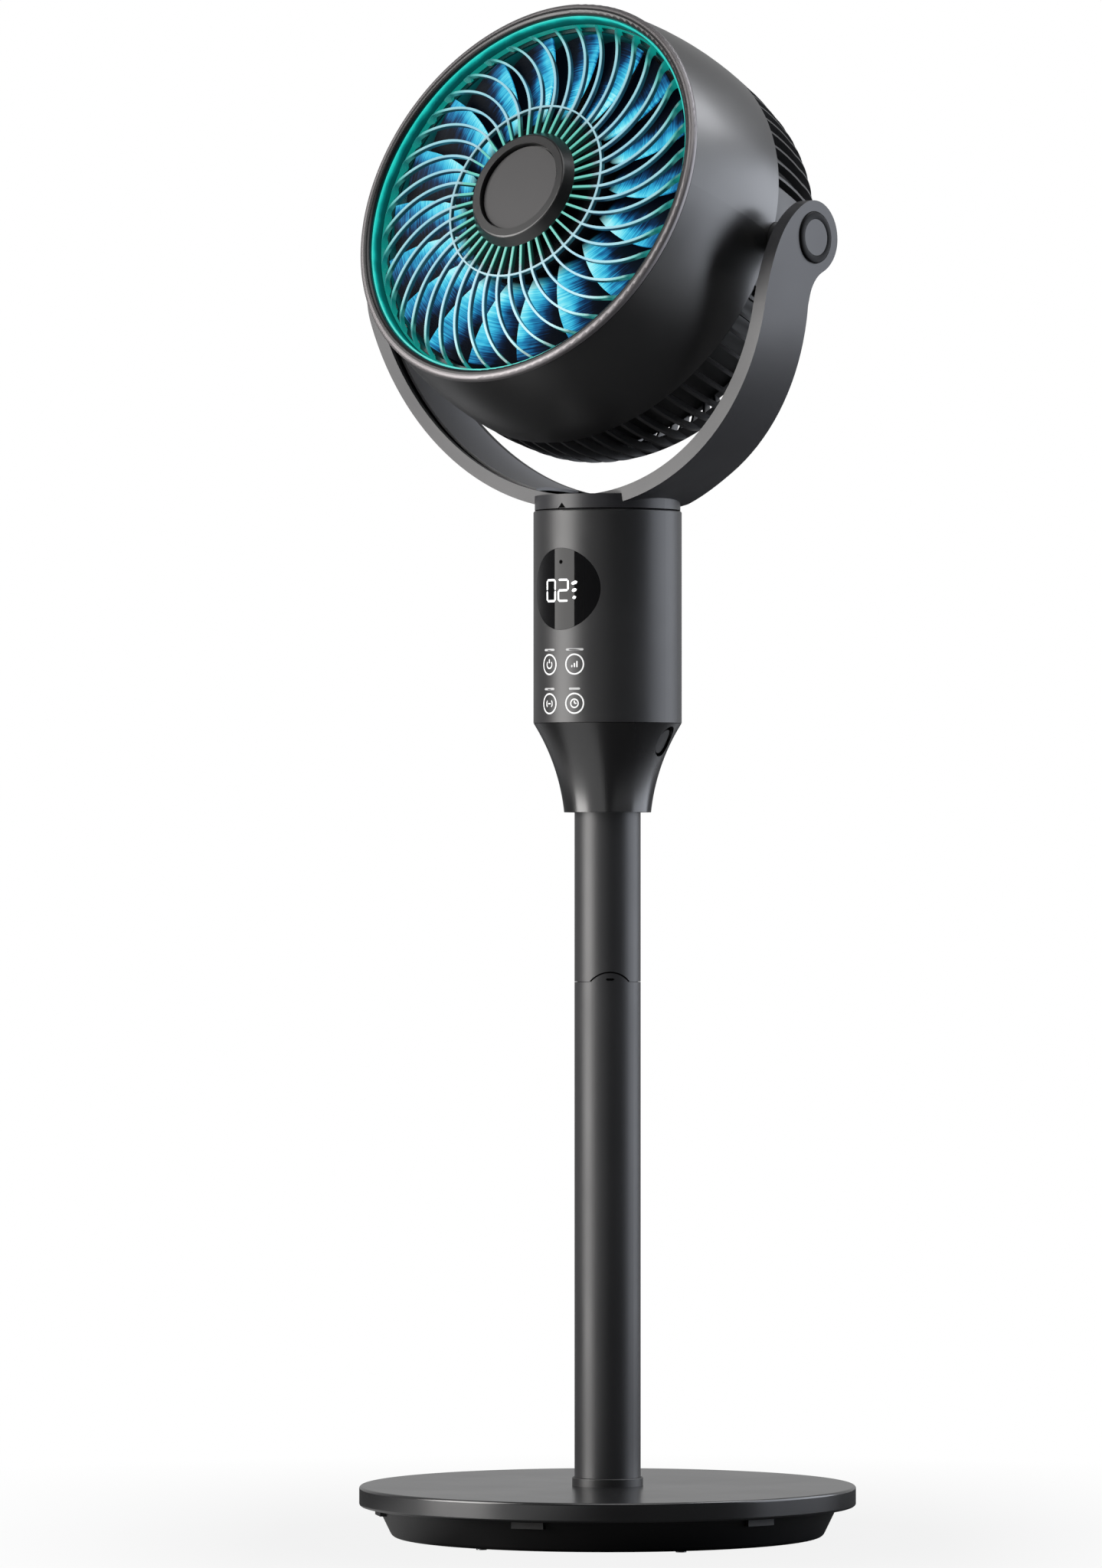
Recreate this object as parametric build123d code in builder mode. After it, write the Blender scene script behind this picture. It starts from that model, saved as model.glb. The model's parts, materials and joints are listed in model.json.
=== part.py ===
from build123d import *
from math import cos, radians, sin, sqrt
import os

# Pedestal fan: round base, pole, control column, swivelling yoke and tilting head.
# Millimetres and degrees. +Z is up, the front faces -Y, and the origin is under the base's centre.
# Azimuths are counted from the front towards +X. In the head, distances forward of the tilt pivot
# run along the fan's own axis.

# Clearances shared by all pieces
SEAM = 0.3
SLIP = 0.15
RUN = 0.05
SWIVEL_GAP = 0.5

# Base
BASE_R = 150.0
BASE_TOP = 32.0
RIM_H = 12.0
RIM_EDGE_R = 1.6
COVER_WALL = 2.5
TRAY_TOP_R = 139.0
TRAY_FOOT_R = 130.0
TRAY_WALL = 2.2
TRAY_EDGE_R = 4.0
CLIP_COUNT = 6
CLIP_AZIMUTH = 19.0
CLIP_W = 20.0
CLIP_H = 4.5
CLIP_PROUD = 1.5
FOOT_COUNT = 6
FOOT_R = 9.0
FOOT_H = 1.5
FOOT_PITCH_R = 100.0
WEIGHT_R = 112.0
WEIGHT_H = 12.0
WEIGHT_BORE_R = 14.0
POST_R = 4.5
POST_PITCH_R = 119.5
SCREW_R = 1.6
SCREW_HEAD_R = 3.2
SCREW_HEAD_H = 1.2
SCREW_L = 12.0

# Pole and its socket
POLE_R = 20.0
POLE_WALL = 1.5
POLE_H = 406.5
POLE_SEAM_Z = 336.0
KEY_AZIMUTH = 43.0
KEY_W = 24.0
KEY_H = 6.0
SLEEVE_L = 100.0
SLEEVE_WALL = 2.0
FLANGE_R = 42.0
FLANGE_T = 5.0
SPIGOT_L = 60.0
SPIGOT_WALL = 3.0
BOLT_R = 2.5
BOLT_HEAD_R = 4.5
BOLT_HEAD_H = 3.2
BOLT_L = 12.0
BOLT_PITCH_R = 31.0
BOLT_COUNT = 4
COLLAR_T = 1.4
COLLAR_H = 5.0

# Neck and pole release
NECK_H = 53.5
NECK_BOTTOM_R = 26.3
NECK_MID_R = 31.8
NECK_MID_H = 26.0
NECK_TOP_R = 44.6
NECK_WALL = 2.6
NECK_FLOOR_WALL = 3.1
NECK_FLOOR_SHARE = 0.55
NECK_SOCKET_WALL = 2.8
NECK_POST_R = 4.0
NECK_POST_PITCH_R = 29.0
NECK_POST_AZIMUTH = 42.0
NECK_SCREW_COUNT = 3
BUTTON_AZIMUTH = 102.0
BUTTON_DROP = 11.0
BUTTON_W = 12.0
BUTTON_H = 14.0
BUTTON_GAP = 2.0
BUTTON_RECESS = 1.5
BUTTON_BACK_R = 33.0
BUTTON_TRAVEL = 3.0
STEM_R = 4.5
STEM_GUIDE_WALL = 2.0
PIN_R = 3.0
PIN_L = 12.0
SPRING_T = 0.6
SPRING_W = 8.0

# Control column
COLUMN_R = 44.8
COLUMN_WALL = 2.3
COLUMN_H = 128.0
COLUMN_EDGE_R = 1.2
FLOOR_T = 3.2
FLOOR_LIP_H = 2.2
FLOOR_LIP_W = 2.0
CABLE_BORE_R = 12.0
DISPLAY_R = 24.5
DISPLAY_H = 80.0
DISPLAY_SEAT_W = 3.5
DISPLAY_FRAME_T = 2.0
DIGITS_W = 26.0
DIGITS_H = 15.0
BOARD_T = 1.6
DISPLAY_BOARD_W = 40.0
DISPLAY_BOARD_H = 34.0
TOUCH_BOARD_W = 32.0
TOUCH_BOARD_H = 42.0
MAIN_BOARD_W = 58.0
MAIN_BOARD_H = 74.0
MAIN_BOARD_Y = 20.0
RAIL_H = 6.0
RAIL_W = 5.0
CAPACITOR_R = 5.0
CAPACITOR_L = 9.0
CHIP_W = 12.0
CHIP_T = 3.0
INLET_H = 17.0
INLET_NOSE_R = 4.2
INLET_BORE_R = 2.9
INLET_BORE_L = 9.5
INLET_PIN_R = 1.0
INLET_W = 10.0

# Swivel
TOP_PLATE_T = 6.0
TOP_PLATE_DROP = 3.2
BUSH_WALL = 3.8
BUSH_L = 8.0
BUSH_FLANGE_W = 3.0
SPINDLE_R = 12.0
SPINDLE_BORE_R = 8.0
SPINDLE_INSET = 5.5
SPINDLE_L = 36.0
GEAR_MODULE = 1.0
GEAR_TEETH = 36
PINION_TEETH = 12
GEAR_W = 6.0
GEAR_DEDENDUM = 1.25
GEAR_ADDENDUM = 0.85
TOOTH_ROOT_HALF = 0.95
TOOTH_TIP_HALF = 0.32
GEAR_HUB_WALL = 3.0
CLIP_RING_T = 1.5
CLIP_RING_W = 3.0
SWING_MOTOR_R = 14.0
SWING_MOTOR_H = 19.0
SWING_SHAFT_R = 2.5
EAR_PITCH = 17.5
EAR_R = 4.0
EAR_T = 1.5
MOTOR_GAP = 4.0

# Yoke
YOKE_R = 157.5
YOKE_T = 8.5
HUB_R = 44.0
HUB_H = 8.5
ARM_FRONT_LOW = 27.5
ARM_FRONT_HIGH = 41.5
ARM_SHOULDER_DROP = 40.0
ARM_BACK_LOW = 21.0
ARM_BACK_LOW_H = 21.0
ARM_BACK_FLARE = 34.0
ARM_BACK_FLARE_H = 4.0
ARM_BACK_HIGH = 0.0
EAR_HEAD_R = 22.0
NECK_BLEND_R = 16.0
CHANNEL_WALL = 4.0
CHANNEL_LIP = 2.6
CHANNEL_TOP_DROP = 30.0
LINER_T = 1.8
LINER_SET_BACK = 6.0
CAP_R = 12.6
CAP_GROOVE = 3.0
CAP_DEPTH = 3.2
CAP_PROUD = 0.8
CAP_EDGE_R = 0.8
PIVOT_PIN_R = 5.0
PIVOT_PIN_HEAD_R = 9.0
PIVOT_PIN_HEAD_T = 2.0
PIVOT_PIN_L = 20.0
TILT_BUSH_WALL = 2.5
TILT_BUSH_L = 15.0
WASHER_R = 10.0
WASHER_T = 2.0
POINTER_W = 6.0
POINTER_H = 4.5
POINTER_DEPTH = 0.6

# Head: barrel, rim and light ring
TILT = 21.3
BARREL_FRONT = 80.5
BARREL_REAR = 6.0
BARREL_FRONT_R = 122.8
BARREL_MID_R = 128.9
BARREL_REAR_R = 129.7
BARREL_WALL = 2.5
RIM_R_OUT = 123.6
RIM_R_IN = 116.6
RIM_FRONT = 85.5
RIM_SKIRT_REAR = 71.3
RIM_SKIRT_T = 3.2
RIM_NOSE_R = 2.4
RIM_GROOVE = 1.2
RING_FRONT = 82.5
LED_BOARD_T = 1.2
LED_BOARD_W = 5.0
DUCT_R = 111.0
DUCT_WALL = 2.0
DUCT_FLANGE_T = 2.0
DUCT_TAIL = -38.0

# Front grille and hub
RIB_COUNT = 42
RIB_W = 1.3
RIB_DEPTH = 3.4
RIB_SWEEP = 22.5
RIB_BOW = 7.8
GRILLE_HUB_R = 35.0
GRILLE_RING_R = 55.7
GRILLE_RING_W = 1.0
GRILLE_R = 115.0
GRILLE_EDGE_W = 1.4
GRILLE_CENTRE = 86.0
GRILLE_RING_FRONT = 85.0
GRILLE_SHOULDER_R = 105.0
GRILLE_SHOULDER = 81.2
GRILLE_FLANK_R = 112.2
GRILLE_FLANK = 78.2
HUB_BOSS_R = 37.5
HUB_BOSS_TOP_R = 33.5
HUB_BOSS_H = 6.0
HUB_EDGE_R = 1.5
DISC_R = 27.6
DISC_DEPTH = 5.0
DISC_SINK = 3.0
DISC_CROWN = 0.8

# Impeller
BLADE_COUNT = 18
BLADE_TIP_R = 108.5
BLADE_TURNS = (14.0, -2.0, 0.0)
BLADE_T = 2.2
BLADE_FRONT_ROOT = 71.0
BLADE_FRONT_TIP = 75.0
BLADE_SPREAD = 36.0
BLADE_DEPTH_ROOT = 24.0
BLADE_DEPTH_TIP = 20.0
BLADE_CAMBER = 2.2
IMPELLER_HUB_R = 52.0
IMPELLER_HUB_WALL = 2.5
IMPELLER_HUB_REAR = 22.0
IMPELLER_HUB_FRONT = 76.0
IMPELLER_HUB_CROWN_R = 4.0
IMPELLER_BOSS_R = 9.0
IMPELLER_BOSS_L = 26.0
NUT_R = 7.5
NUT_H = 5.0

# Fan motor and its pod
SHAFT_R = 4.0
SHAFT_INSET = 1.0
POD_R = 46.0
POD_WALL = 2.6
POD_FRONT = 4.0
MOTOR_R = 42.0
MOTOR_REAR = -38.0
MOTOR_FRONT = 16.0
MOTOR_SPLIT = -10.0
MOTOR_WALL = 2.4
STATOR_BORE_R = 23.0
STATOR_L = 24.0
STATOR_SLOTS = 12
STATOR_SLOT_W = 5.0
STATOR_SLOT_L = 11.0
ROTOR_GAP = 0.6
BEARING_R = 11.0
BEARING_T = 7.0
BEARING_SEAT = 2.0
BEARING_HUB_WALL = 2.2
BULKHEAD_T = 3.0
MOTOR_SCREW_PITCH_R = 30.0
MOTOR_SCREW_COUNT = 4
DRIVER_BOARD_R = 34.0
DRIVER_GAP = 12.0
STANDOFF_R = 3.0
STANDOFF_PITCH_R = 28.0
STANDOFF_COUNT = 3
STANDOFF_TURN = 15.0

# Rear guard
GUARD_R = 129.4
GUARD_FRONT = 5.7
GUARD_SIDE_R = 126.6
GUARD_SIDE = -24.0
GUARD_SIDE_BOW_R = 128.8
GUARD_SIDE_BOW = -9.0
GUARD_CORNER_R = 112.8
GUARD_CORNER = -55.5
GUARD_BACK_R = 82.0
GUARD_BACK = -71.5
GUARD_CENTRE = -76.0
GUARD_T = 5.0
FIN_COUNT = 72
FIN_W = 2.0
GUARD_RING_W = 3.0
GUARD_HOOPS = (86.0, 103.0, 116.0)
INNER_FIN_COUNT = 36
PANEL_HALF = 32.0
PANEL_R = 112.0
GUARD_SPIGOT_T = 3.0
GUARD_SPIGOT_L = 14.0
BOSS_R = 10.5
BOSS_ROOT_R = 118.0
REAR_CAP_H = 7.0
REAR_CAP_EDGE_R = 3.0
REAR_CAP_LIP = 4.0

# Levels of the stand, from the floor up
RIM_BOTTOM = BASE_TOP - RIM_H
FLOOR_Z = FOOT_H + TRAY_WALL
WEIGHT_TOP = FLOOR_Z + WEIGHT_H
POLE_FOOT = WEIGHT_TOP + FLANGE_T
POLE_IN_R = POLE_R - POLE_WALL
SOCKET_BORE_R = POLE_R + SLIP
SOCKET_R = SOCKET_BORE_R + NECK_SOCKET_WALL
NECK_BOTTOM = BASE_TOP + POLE_H
NECK_TOP = NECK_BOTTOM + NECK_H
BUTTON_Z = NECK_TOP - BUTTON_DROP
COLUMN_BOTTOM = NECK_TOP + SEAM
COLUMN_TOP = COLUMN_BOTTOM + COLUMN_H
COLUMN_IN_R = COLUMN_R - COLUMN_WALL
COLUMN_FLOOR = COLUMN_BOTTOM + FLOOR_T
DISPLAY_Z = COLUMN_BOTTOM + DISPLAY_H
PLATE_TOP = COLUMN_TOP - TOP_PLATE_DROP
PLATE_BOTTOM = PLATE_TOP - TOP_PLATE_T
HUB_BOTTOM = COLUMN_TOP + SWIVEL_GAP
PIVOT_Z = HUB_BOTTOM + YOKE_R
YOKE_IN_R = YOKE_R - YOKE_T
BUSH_R = SPINDLE_R + RUN + BUSH_WALL
BUSH_BOTTOM = PLATE_TOP - BUSH_L
SPINDLE_TOP = HUB_BOTTOM + SPINDLE_INSET
SPINDLE_BOTTOM = SPINDLE_TOP - SPINDLE_L
GEAR_BOTTOM = SPINDLE_BOTTOM + CLIP_RING_T + SEAM
GEAR_TOP = GEAR_BOTTOM + GEAR_W
GEAR_CENTRES = GEAR_MODULE * (GEAR_TEETH + PINION_TEETH) / 2
SWING_MOTOR_TOP = GEAR_BOTTOM - MOTOR_GAP

# Frames of the head
PIVOT = (0, 0, PIVOT_Z)
FORWARD = (0, -cos(radians(TILT)), sin(radians(TILT)))
HEAD_UP = (0, sin(radians(TILT)), cos(radians(TILT)))
HEAD = Plane(origin=PIVOT, x_dir=(1, 0, 0), z_dir=FORWARD)
HEAD_SECTION = Plane(origin=PIVOT, x_dir=(1, 0, 0), z_dir=tuple(-v for v in HEAD_UP))
FAN_AXIS = Axis(PIVOT, FORWARD)
PIVOT_PLANE = Plane(origin=PIVOT, x_dir=(0, 1, 0), z_dir=(1, 0, 0))

# Sizes of the head that follow from others
BARREL_MID = (BARREL_FRONT + BARREL_REAR) / 2
RING_R_OUT = RIM_R_IN - SEAM
RING_R_IN = GRILLE_R + SEAM
DUCT_FRONT = RIM_SKIRT_REAR - SEAM
GRILLE_FOOT = DUCT_FRONT + LED_BOARD_T + SEAM
DUCT_REAR = GUARD_FRONT + GUARD_SPIGOT_L + SEAM
GUARD_SPIGOT_R = BARREL_REAR_R - BARREL_WALL - SLIP
WASHER_SEAT = sqrt(YOKE_IN_R**2 - WASHER_R**2) - SLIP
BOSS_END = WASHER_SEAT - WASHER_T - SEAM
TILT_BUSH_R = PIVOT_PIN_R + RUN + TILT_BUSH_WALL
SHAFT_REAR = MOTOR_REAR + BEARING_SEAT
ROTOR_REAR = (MOTOR_REAR + MOTOR_FRONT - STATOR_L) / 2
SHAFT_FRONT = IMPELLER_HUB_FRONT + NUT_H - SHAFT_INSET

STANDING = (Align.CENTER, Align.CENTER, Align.MIN)


def outward(azimuth, height):
    """Plane through the stand's axis that looks outward at an azimuth."""
    turn = radians(azimuth)
    return Plane(origin=(0, 0, height), x_dir=(cos(turn), sin(turn), 0), z_dir=(sin(turn), -cos(turn), 0))


def ring_points(radius, count, azimuth):
    """Points evenly round the stand's axis, the first at an azimuth."""
    turns = [radians(azimuth + 360 * k / count) for k in range(count)]
    return [(radius * sin(turn), -radius * cos(turn)) for turn in turns]


def gear_face(teeth, phase):
    """Spur gear outline with straight flanks and some backlash."""
    pitch_r = GEAR_MODULE * teeth / 2
    root_r = pitch_r - GEAR_DEDENDUM * GEAR_MODULE
    tip_r = pitch_r + GEAR_ADDENDUM * GEAR_MODULE
    root_half = TOOTH_ROOT_HALF * GEAR_MODULE
    tip_half = TOOTH_TIP_HALF * GEAR_MODULE
    with BuildSketch() as face:
        Circle(root_r)
        with PolarLocations(0, teeth, start_angle=phase):
            Polygon(
                (root_r - GEAR_MODULE / 2, -root_half),
                (tip_r, -tip_half),
                (tip_r, tip_half),
                (root_r - GEAR_MODULE / 2, root_half),
                align=None,
            )
    return face.sketch


def write(piece, name):
    """Label a finished piece and write it as one STEP file."""
    piece.part.label = name
    export_step(piece.part, f"parts/{name}.step")


os.makedirs("parts", exist_ok=True)

TRAY_POINTS = ring_points(POST_PITCH_R, FOOT_COUNT, 0)
BOLT_POINTS = ring_points(BOLT_PITCH_R, BOLT_COUNT, 45)
NECK_POINTS = ring_points(NECK_POST_PITCH_R, NECK_SCREW_COUNT, NECK_POST_AZIMUTH)
EAR_POINTS = [(GEAR_CENTRES, EAR_PITCH), (GEAR_CENTRES, -EAR_PITCH)]

# Base cover: a shallow round pan with posts that take the tray's screws
with BuildPart() as base_cover:
    with BuildSketch(Plane.XZ) as cover_section:
        with BuildLine():
            Polyline(
                (POLE_R + SLIP, BASE_TOP),
                (BASE_R, BASE_TOP),
                (BASE_R, RIM_BOTTOM),
                (BASE_R - COVER_WALL, RIM_BOTTOM),
                (BASE_R - COVER_WALL, BASE_TOP - COVER_WALL),
                (POLE_R + SLIP, BASE_TOP - COVER_WALL),
                close=True,
            )
        make_face()
        fillet(cover_section.vertices().sort_by(Axis.X)[-2:], radius=RIM_EDGE_R)
    revolve(axis=Axis.Z)
    with BuildSketch(Plane.XY.offset(FLOOR_Z)):
        with Locations(*TRAY_POINTS):
            Circle(POST_R)
            Circle(SCREW_R + SLIP, mode=Mode.SUBTRACT)
    extrude(amount=BASE_TOP - COVER_WALL - FLOOR_Z)
write(base_cover, "base_cover")

# Base tray: a dish with a flange that closes the cover, and lugs just under the rim
with BuildPart() as base_tray:
    with BuildSketch(Plane.XZ) as tray_section:
        with BuildLine():
            Polyline(
                (0, FOOT_H),
                (TRAY_FOOT_R, FOOT_H),
                (TRAY_TOP_R, RIM_BOTTOM),
                (BASE_R - COVER_WALL - SEAM, RIM_BOTTOM),
                (BASE_R - COVER_WALL - SEAM, RIM_BOTTOM + TRAY_WALL),
                (TRAY_TOP_R - TRAY_WALL, RIM_BOTTOM + TRAY_WALL),
                (TRAY_FOOT_R - TRAY_WALL, FLOOR_Z),
                (0, FLOOR_Z),
                close=True,
            )
        make_face()
        fillet(tray_section.vertices().sort_by_distance((TRAY_FOOT_R, FOOT_H))[0], radius=TRAY_EDGE_R)
    revolve(axis=Axis.Z)
    with BuildSketch(Plane.XY.offset(RIM_BOTTOM - CLIP_H)):
        with PolarLocations(TRAY_TOP_R + CLIP_PROUD, CLIP_COUNT, start_angle=CLIP_AZIMUTH - 90):
            Rectangle(CLIP_H, CLIP_W, align=(Align.MAX, Align.CENTER))
    extrude(amount=CLIP_H)
    with BuildSketch(Plane.XY.offset(FOOT_H)):
        with Locations(*TRAY_POINTS):
            Circle(SCREW_R + SLIP)
    extrude(amount=TRAY_WALL, mode=Mode.SUBTRACT)
write(base_tray, "base_tray")

with BuildPart() as base_feet:
    with PolarLocations(FOOT_PITCH_R, FOOT_COUNT, start_angle=180 / FOOT_COUNT):
        Cylinder(FOOT_R, FOOT_H, align=STANDING)
write(base_feet, "base_feet")

# Cast weight that fills the tray, with the pole socket bolted on top of it
with BuildPart() as base_weight:
    with BuildSketch(Plane.XY.offset(FLOOR_Z)):
        Circle(WEIGHT_R)
        Circle(WEIGHT_BORE_R, mode=Mode.SUBTRACT)
        with Locations(*BOLT_POINTS):
            Circle(BOLT_R + SLIP, mode=Mode.SUBTRACT)
    extrude(amount=WEIGHT_H)
write(base_weight, "base_weight")

with BuildPart() as pole_socket:
    with BuildSketch(Plane.XY.offset(WEIGHT_TOP)):
        Circle(FLANGE_R)
        with Locations(*BOLT_POINTS):
            Circle(BOLT_R + SLIP, mode=Mode.SUBTRACT)
    extrude(amount=FLANGE_T)
    with BuildSketch(Plane.XY.offset(POLE_FOOT)):
        Circle(POLE_IN_R - SLIP)
    extrude(amount=SPIGOT_L)
    with BuildSketch(Plane.XY.offset(WEIGHT_TOP)):
        Circle(POLE_IN_R - SLIP - SPIGOT_WALL)
    extrude(amount=FLANGE_T + SPIGOT_L, mode=Mode.SUBTRACT)
write(pole_socket, "pole_socket")

with BuildPart() as socket_bolts:
    with BuildSketch(Plane.XY.offset(POLE_FOOT)):
        with Locations(*BOLT_POINTS):
            Circle(BOLT_HEAD_R)
    extrude(amount=BOLT_HEAD_H)
    with BuildSketch(Plane.XY.offset(POLE_FOOT)):
        with Locations(*BOLT_POINTS):
            Circle(BOLT_R)
    extrude(amount=-BOLT_L)
write(socket_bolts, "socket_bolts")

with BuildPart() as pole_collar:
    with BuildSketch(Plane.XY.offset(BASE_TOP)):
        Circle(POLE_R + COLLAR_T)
        Circle(POLE_R + SLIP, mode=Mode.SUBTRACT)
    extrude(amount=COLLAR_H)
    fillet(pole_collar.edges().group_by(Axis.Z)[-1].sort_by(SortBy.RADIUS)[-1], radius=COLLAR_T / 2)
write(pole_collar, "pole_collar")

# Pole: the lower length ends in an arched key, which seats in a notch of the upper length
KEY_PLANE = outward(KEY_AZIMUTH, POLE_SEAM_Z)

with BuildSketch(KEY_PLANE) as key_arch:
    with BuildLine():
        arch = ThreePointArc((-KEY_W / 2, 0), (0, KEY_H), (KEY_W / 2, 0))
        Line(arch @ 1, arch @ 0)
    make_face()

with BuildPart() as lower_pole:
    with BuildSketch(Plane.XY.offset(POLE_FOOT)):
        Circle(POLE_R)
        Circle(POLE_IN_R, mode=Mode.SUBTRACT)
    extrude(amount=POLE_SEAM_Z + KEY_H - POLE_FOOT)
    with BuildSketch(KEY_PLANE):
        Rectangle(3 * POLE_R, 2 * KEY_H, align=(Align.CENTER, Align.MIN))
        add(key_arch.sketch_local, mode=Mode.SUBTRACT)
    extrude(amount=2 * POLE_R, mode=Mode.SUBTRACT)
    with BuildSketch(KEY_PLANE):
        Rectangle(3 * POLE_R, 2 * KEY_H, align=(Align.CENTER, Align.MIN))
    extrude(amount=-2 * POLE_R, mode=Mode.SUBTRACT)
write(lower_pole, "lower_pole")

with BuildPart() as upper_pole:
    with BuildSketch(Plane.XY.offset(POLE_SEAM_Z + SEAM)):
        Circle(POLE_R)
        Circle(POLE_IN_R, mode=Mode.SUBTRACT)
    extrude(amount=NECK_TOP - SEAM - POLE_SEAM_Z - SEAM)
    with BuildSketch(KEY_PLANE):
        add(key_arch.sketch_local)
        offset(amount=SEAM)
    extrude(amount=2 * POLE_R, mode=Mode.SUBTRACT)
    with BuildSketch(outward(BUTTON_AZIMUTH, BUTTON_Z)):
        Circle(PIN_R + RUN)
    extrude(amount=2 * POLE_R, mode=Mode.SUBTRACT)
write(upper_pole, "upper_pole")

with BuildPart() as pole_sleeve:
    with BuildSketch(Plane.XY.offset(POLE_SEAM_Z - SLEEVE_L / 2)):
        Circle(POLE_IN_R - SLIP)
        Circle(POLE_IN_R - SLIP - SLEEVE_WALL, mode=Mode.SUBTRACT)
    extrude(amount=SLEEVE_L)
write(pole_sleeve, "pole_sleeve")

# Neck: a trumpet-shaped shell round a socket for the pole
with BuildLine(Plane.XZ) as neck_flare:
    ThreePointArc(
        (NECK_BOTTOM_R, NECK_BOTTOM),
        (NECK_MID_R, NECK_BOTTOM + NECK_MID_H),
        (NECK_TOP_R, NECK_TOP),
    )


def flare_point(share, inset):
    """Point of the neck's outline, a share of the way up and set in from the skin."""
    point = neck_flare.line @ share
    return (point.X - inset, point.Z)


with BuildPart() as neck:
    with BuildSketch(Plane.XZ):
        with BuildLine():
            skin = ThreePointArc(flare_point(0, 0), flare_point(0.5, 0), flare_point(1, 0))
            lining = ThreePointArc(
                flare_point(1, NECK_WALL),
                flare_point((1 + NECK_FLOOR_SHARE) / 2, NECK_FLOOR_WALL),
                flare_point(NECK_FLOOR_SHARE, NECK_FLOOR_WALL),
            )
            Line(skin @ 1, lining @ 0)
            Polyline(
                lining @ 1,
                (SOCKET_R, (lining @ 1).Y),
                (SOCKET_R, NECK_TOP),
                (SOCKET_BORE_R, NECK_TOP),
                (SOCKET_BORE_R, NECK_BOTTOM),
                skin @ 0,
            )
        make_face()
    revolve(axis=Axis.Z)
    post_floor = flare_point(NECK_FLOOR_SHARE, 0)[1]
    with BuildSketch(Plane.XY.offset(post_floor)):
        with Locations(*NECK_POINTS):
            Circle(NECK_POST_R)
            Circle(SCREW_R + SLIP, mode=Mode.SUBTRACT)
    extrude(amount=NECK_TOP - post_floor)
    with BuildSketch(outward(BUTTON_AZIMUTH, BUTTON_Z).offset(SOCKET_R - NECK_SOCKET_WALL / 2)):
        Circle(STEM_R + RUN + STEM_GUIDE_WALL)
    extrude(amount=BUTTON_BACK_R - BUTTON_TRAVEL - SEAM - SOCKET_R + NECK_SOCKET_WALL / 2)
    with BuildSketch(outward(BUTTON_AZIMUTH, BUTTON_Z).offset(SOCKET_R)):
        Circle(STEM_R + RUN)
    extrude(amount=BUTTON_BACK_R - SOCKET_R, mode=Mode.SUBTRACT)
    with BuildSketch(outward(BUTTON_AZIMUTH, BUTTON_Z)):
        Circle(PIN_R + RUN)
    extrude(amount=SOCKET_R, mode=Mode.SUBTRACT)
    with BuildSketch(outward(BUTTON_AZIMUTH, BUTTON_Z).offset(BUTTON_BACK_R - BUTTON_TRAVEL)):
        SlotOverall(BUTTON_H + 2 * BUTTON_GAP, BUTTON_W + 2 * BUTTON_GAP, rotation=90)
    extrude(amount=NECK_TOP_R, mode=Mode.SUBTRACT)
write(neck, "neck")

# Release button: its face follows the neck's skin, a little below it, and its stem slides in a guide
with BuildPart() as release_button:
    with BuildSketch(outward(BUTTON_AZIMUTH, BUTTON_Z).offset(BUTTON_BACK_R)):
        SlotOverall(BUTTON_H, BUTTON_W, rotation=90)
    extrude(amount=NECK_TOP_R)
    with BuildSketch(Plane.XZ):
        with BuildLine():
            skin = ThreePointArc(
                flare_point(0, BUTTON_RECESS),
                flare_point(0.5, BUTTON_RECESS),
                flare_point(1, BUTTON_RECESS),
            )
            Polyline(skin @ 1, (0, NECK_TOP), (0, NECK_BOTTOM), skin @ 0)
        make_face()
    revolve(axis=Axis.Z, mode=Mode.INTERSECT)
    with BuildSketch(outward(BUTTON_AZIMUTH, BUTTON_Z).offset(SOCKET_R + BUTTON_TRAVEL + SEAM)):
        Circle(STEM_R)
    extrude(amount=BUTTON_BACK_R - SOCKET_R - BUTTON_TRAVEL)
    with BuildSketch(outward(BUTTON_AZIMUTH, BUTTON_Z).offset(SOCKET_R + SEAM)):
        Circle(PIN_R)
    extrude(amount=BUTTON_TRAVEL + SEAM)
write(release_button, "release_button")

# Snap pin that locks the pole in the neck, with a leaf spring across the pole's bore
with BuildPart() as snap_pin:
    with BuildSketch(outward(BUTTON_AZIMUTH, BUTTON_Z).offset(SOCKET_R)):
        Circle(PIN_R)
    extrude(amount=-PIN_L)
write(snap_pin, "snap_pin")

SPRING_PLANE = Plane(
    origin=(0, 0, BUTTON_Z - SPRING_W / 2),
    x_dir=outward(BUTTON_AZIMUTH, BUTTON_Z).x_dir,
    z_dir=(0, 0, 1),
)

with BuildPart() as snap_spring:
    with BuildSketch(SPRING_PLANE):
        with BuildLine():
            leaf_tip = SOCKET_R - PIN_L - SPRING_T
            leaf_end = POLE_IN_R - SEAM - BUTTON_TRAVEL / 2
            ThreePointArc((-leaf_end, 0), (0, -leaf_tip), (leaf_end, 0))
        trace(line_width=2 * SPRING_T)
    extrude(amount=SPRING_W)
write(snap_spring, "snap_spring")

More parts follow.
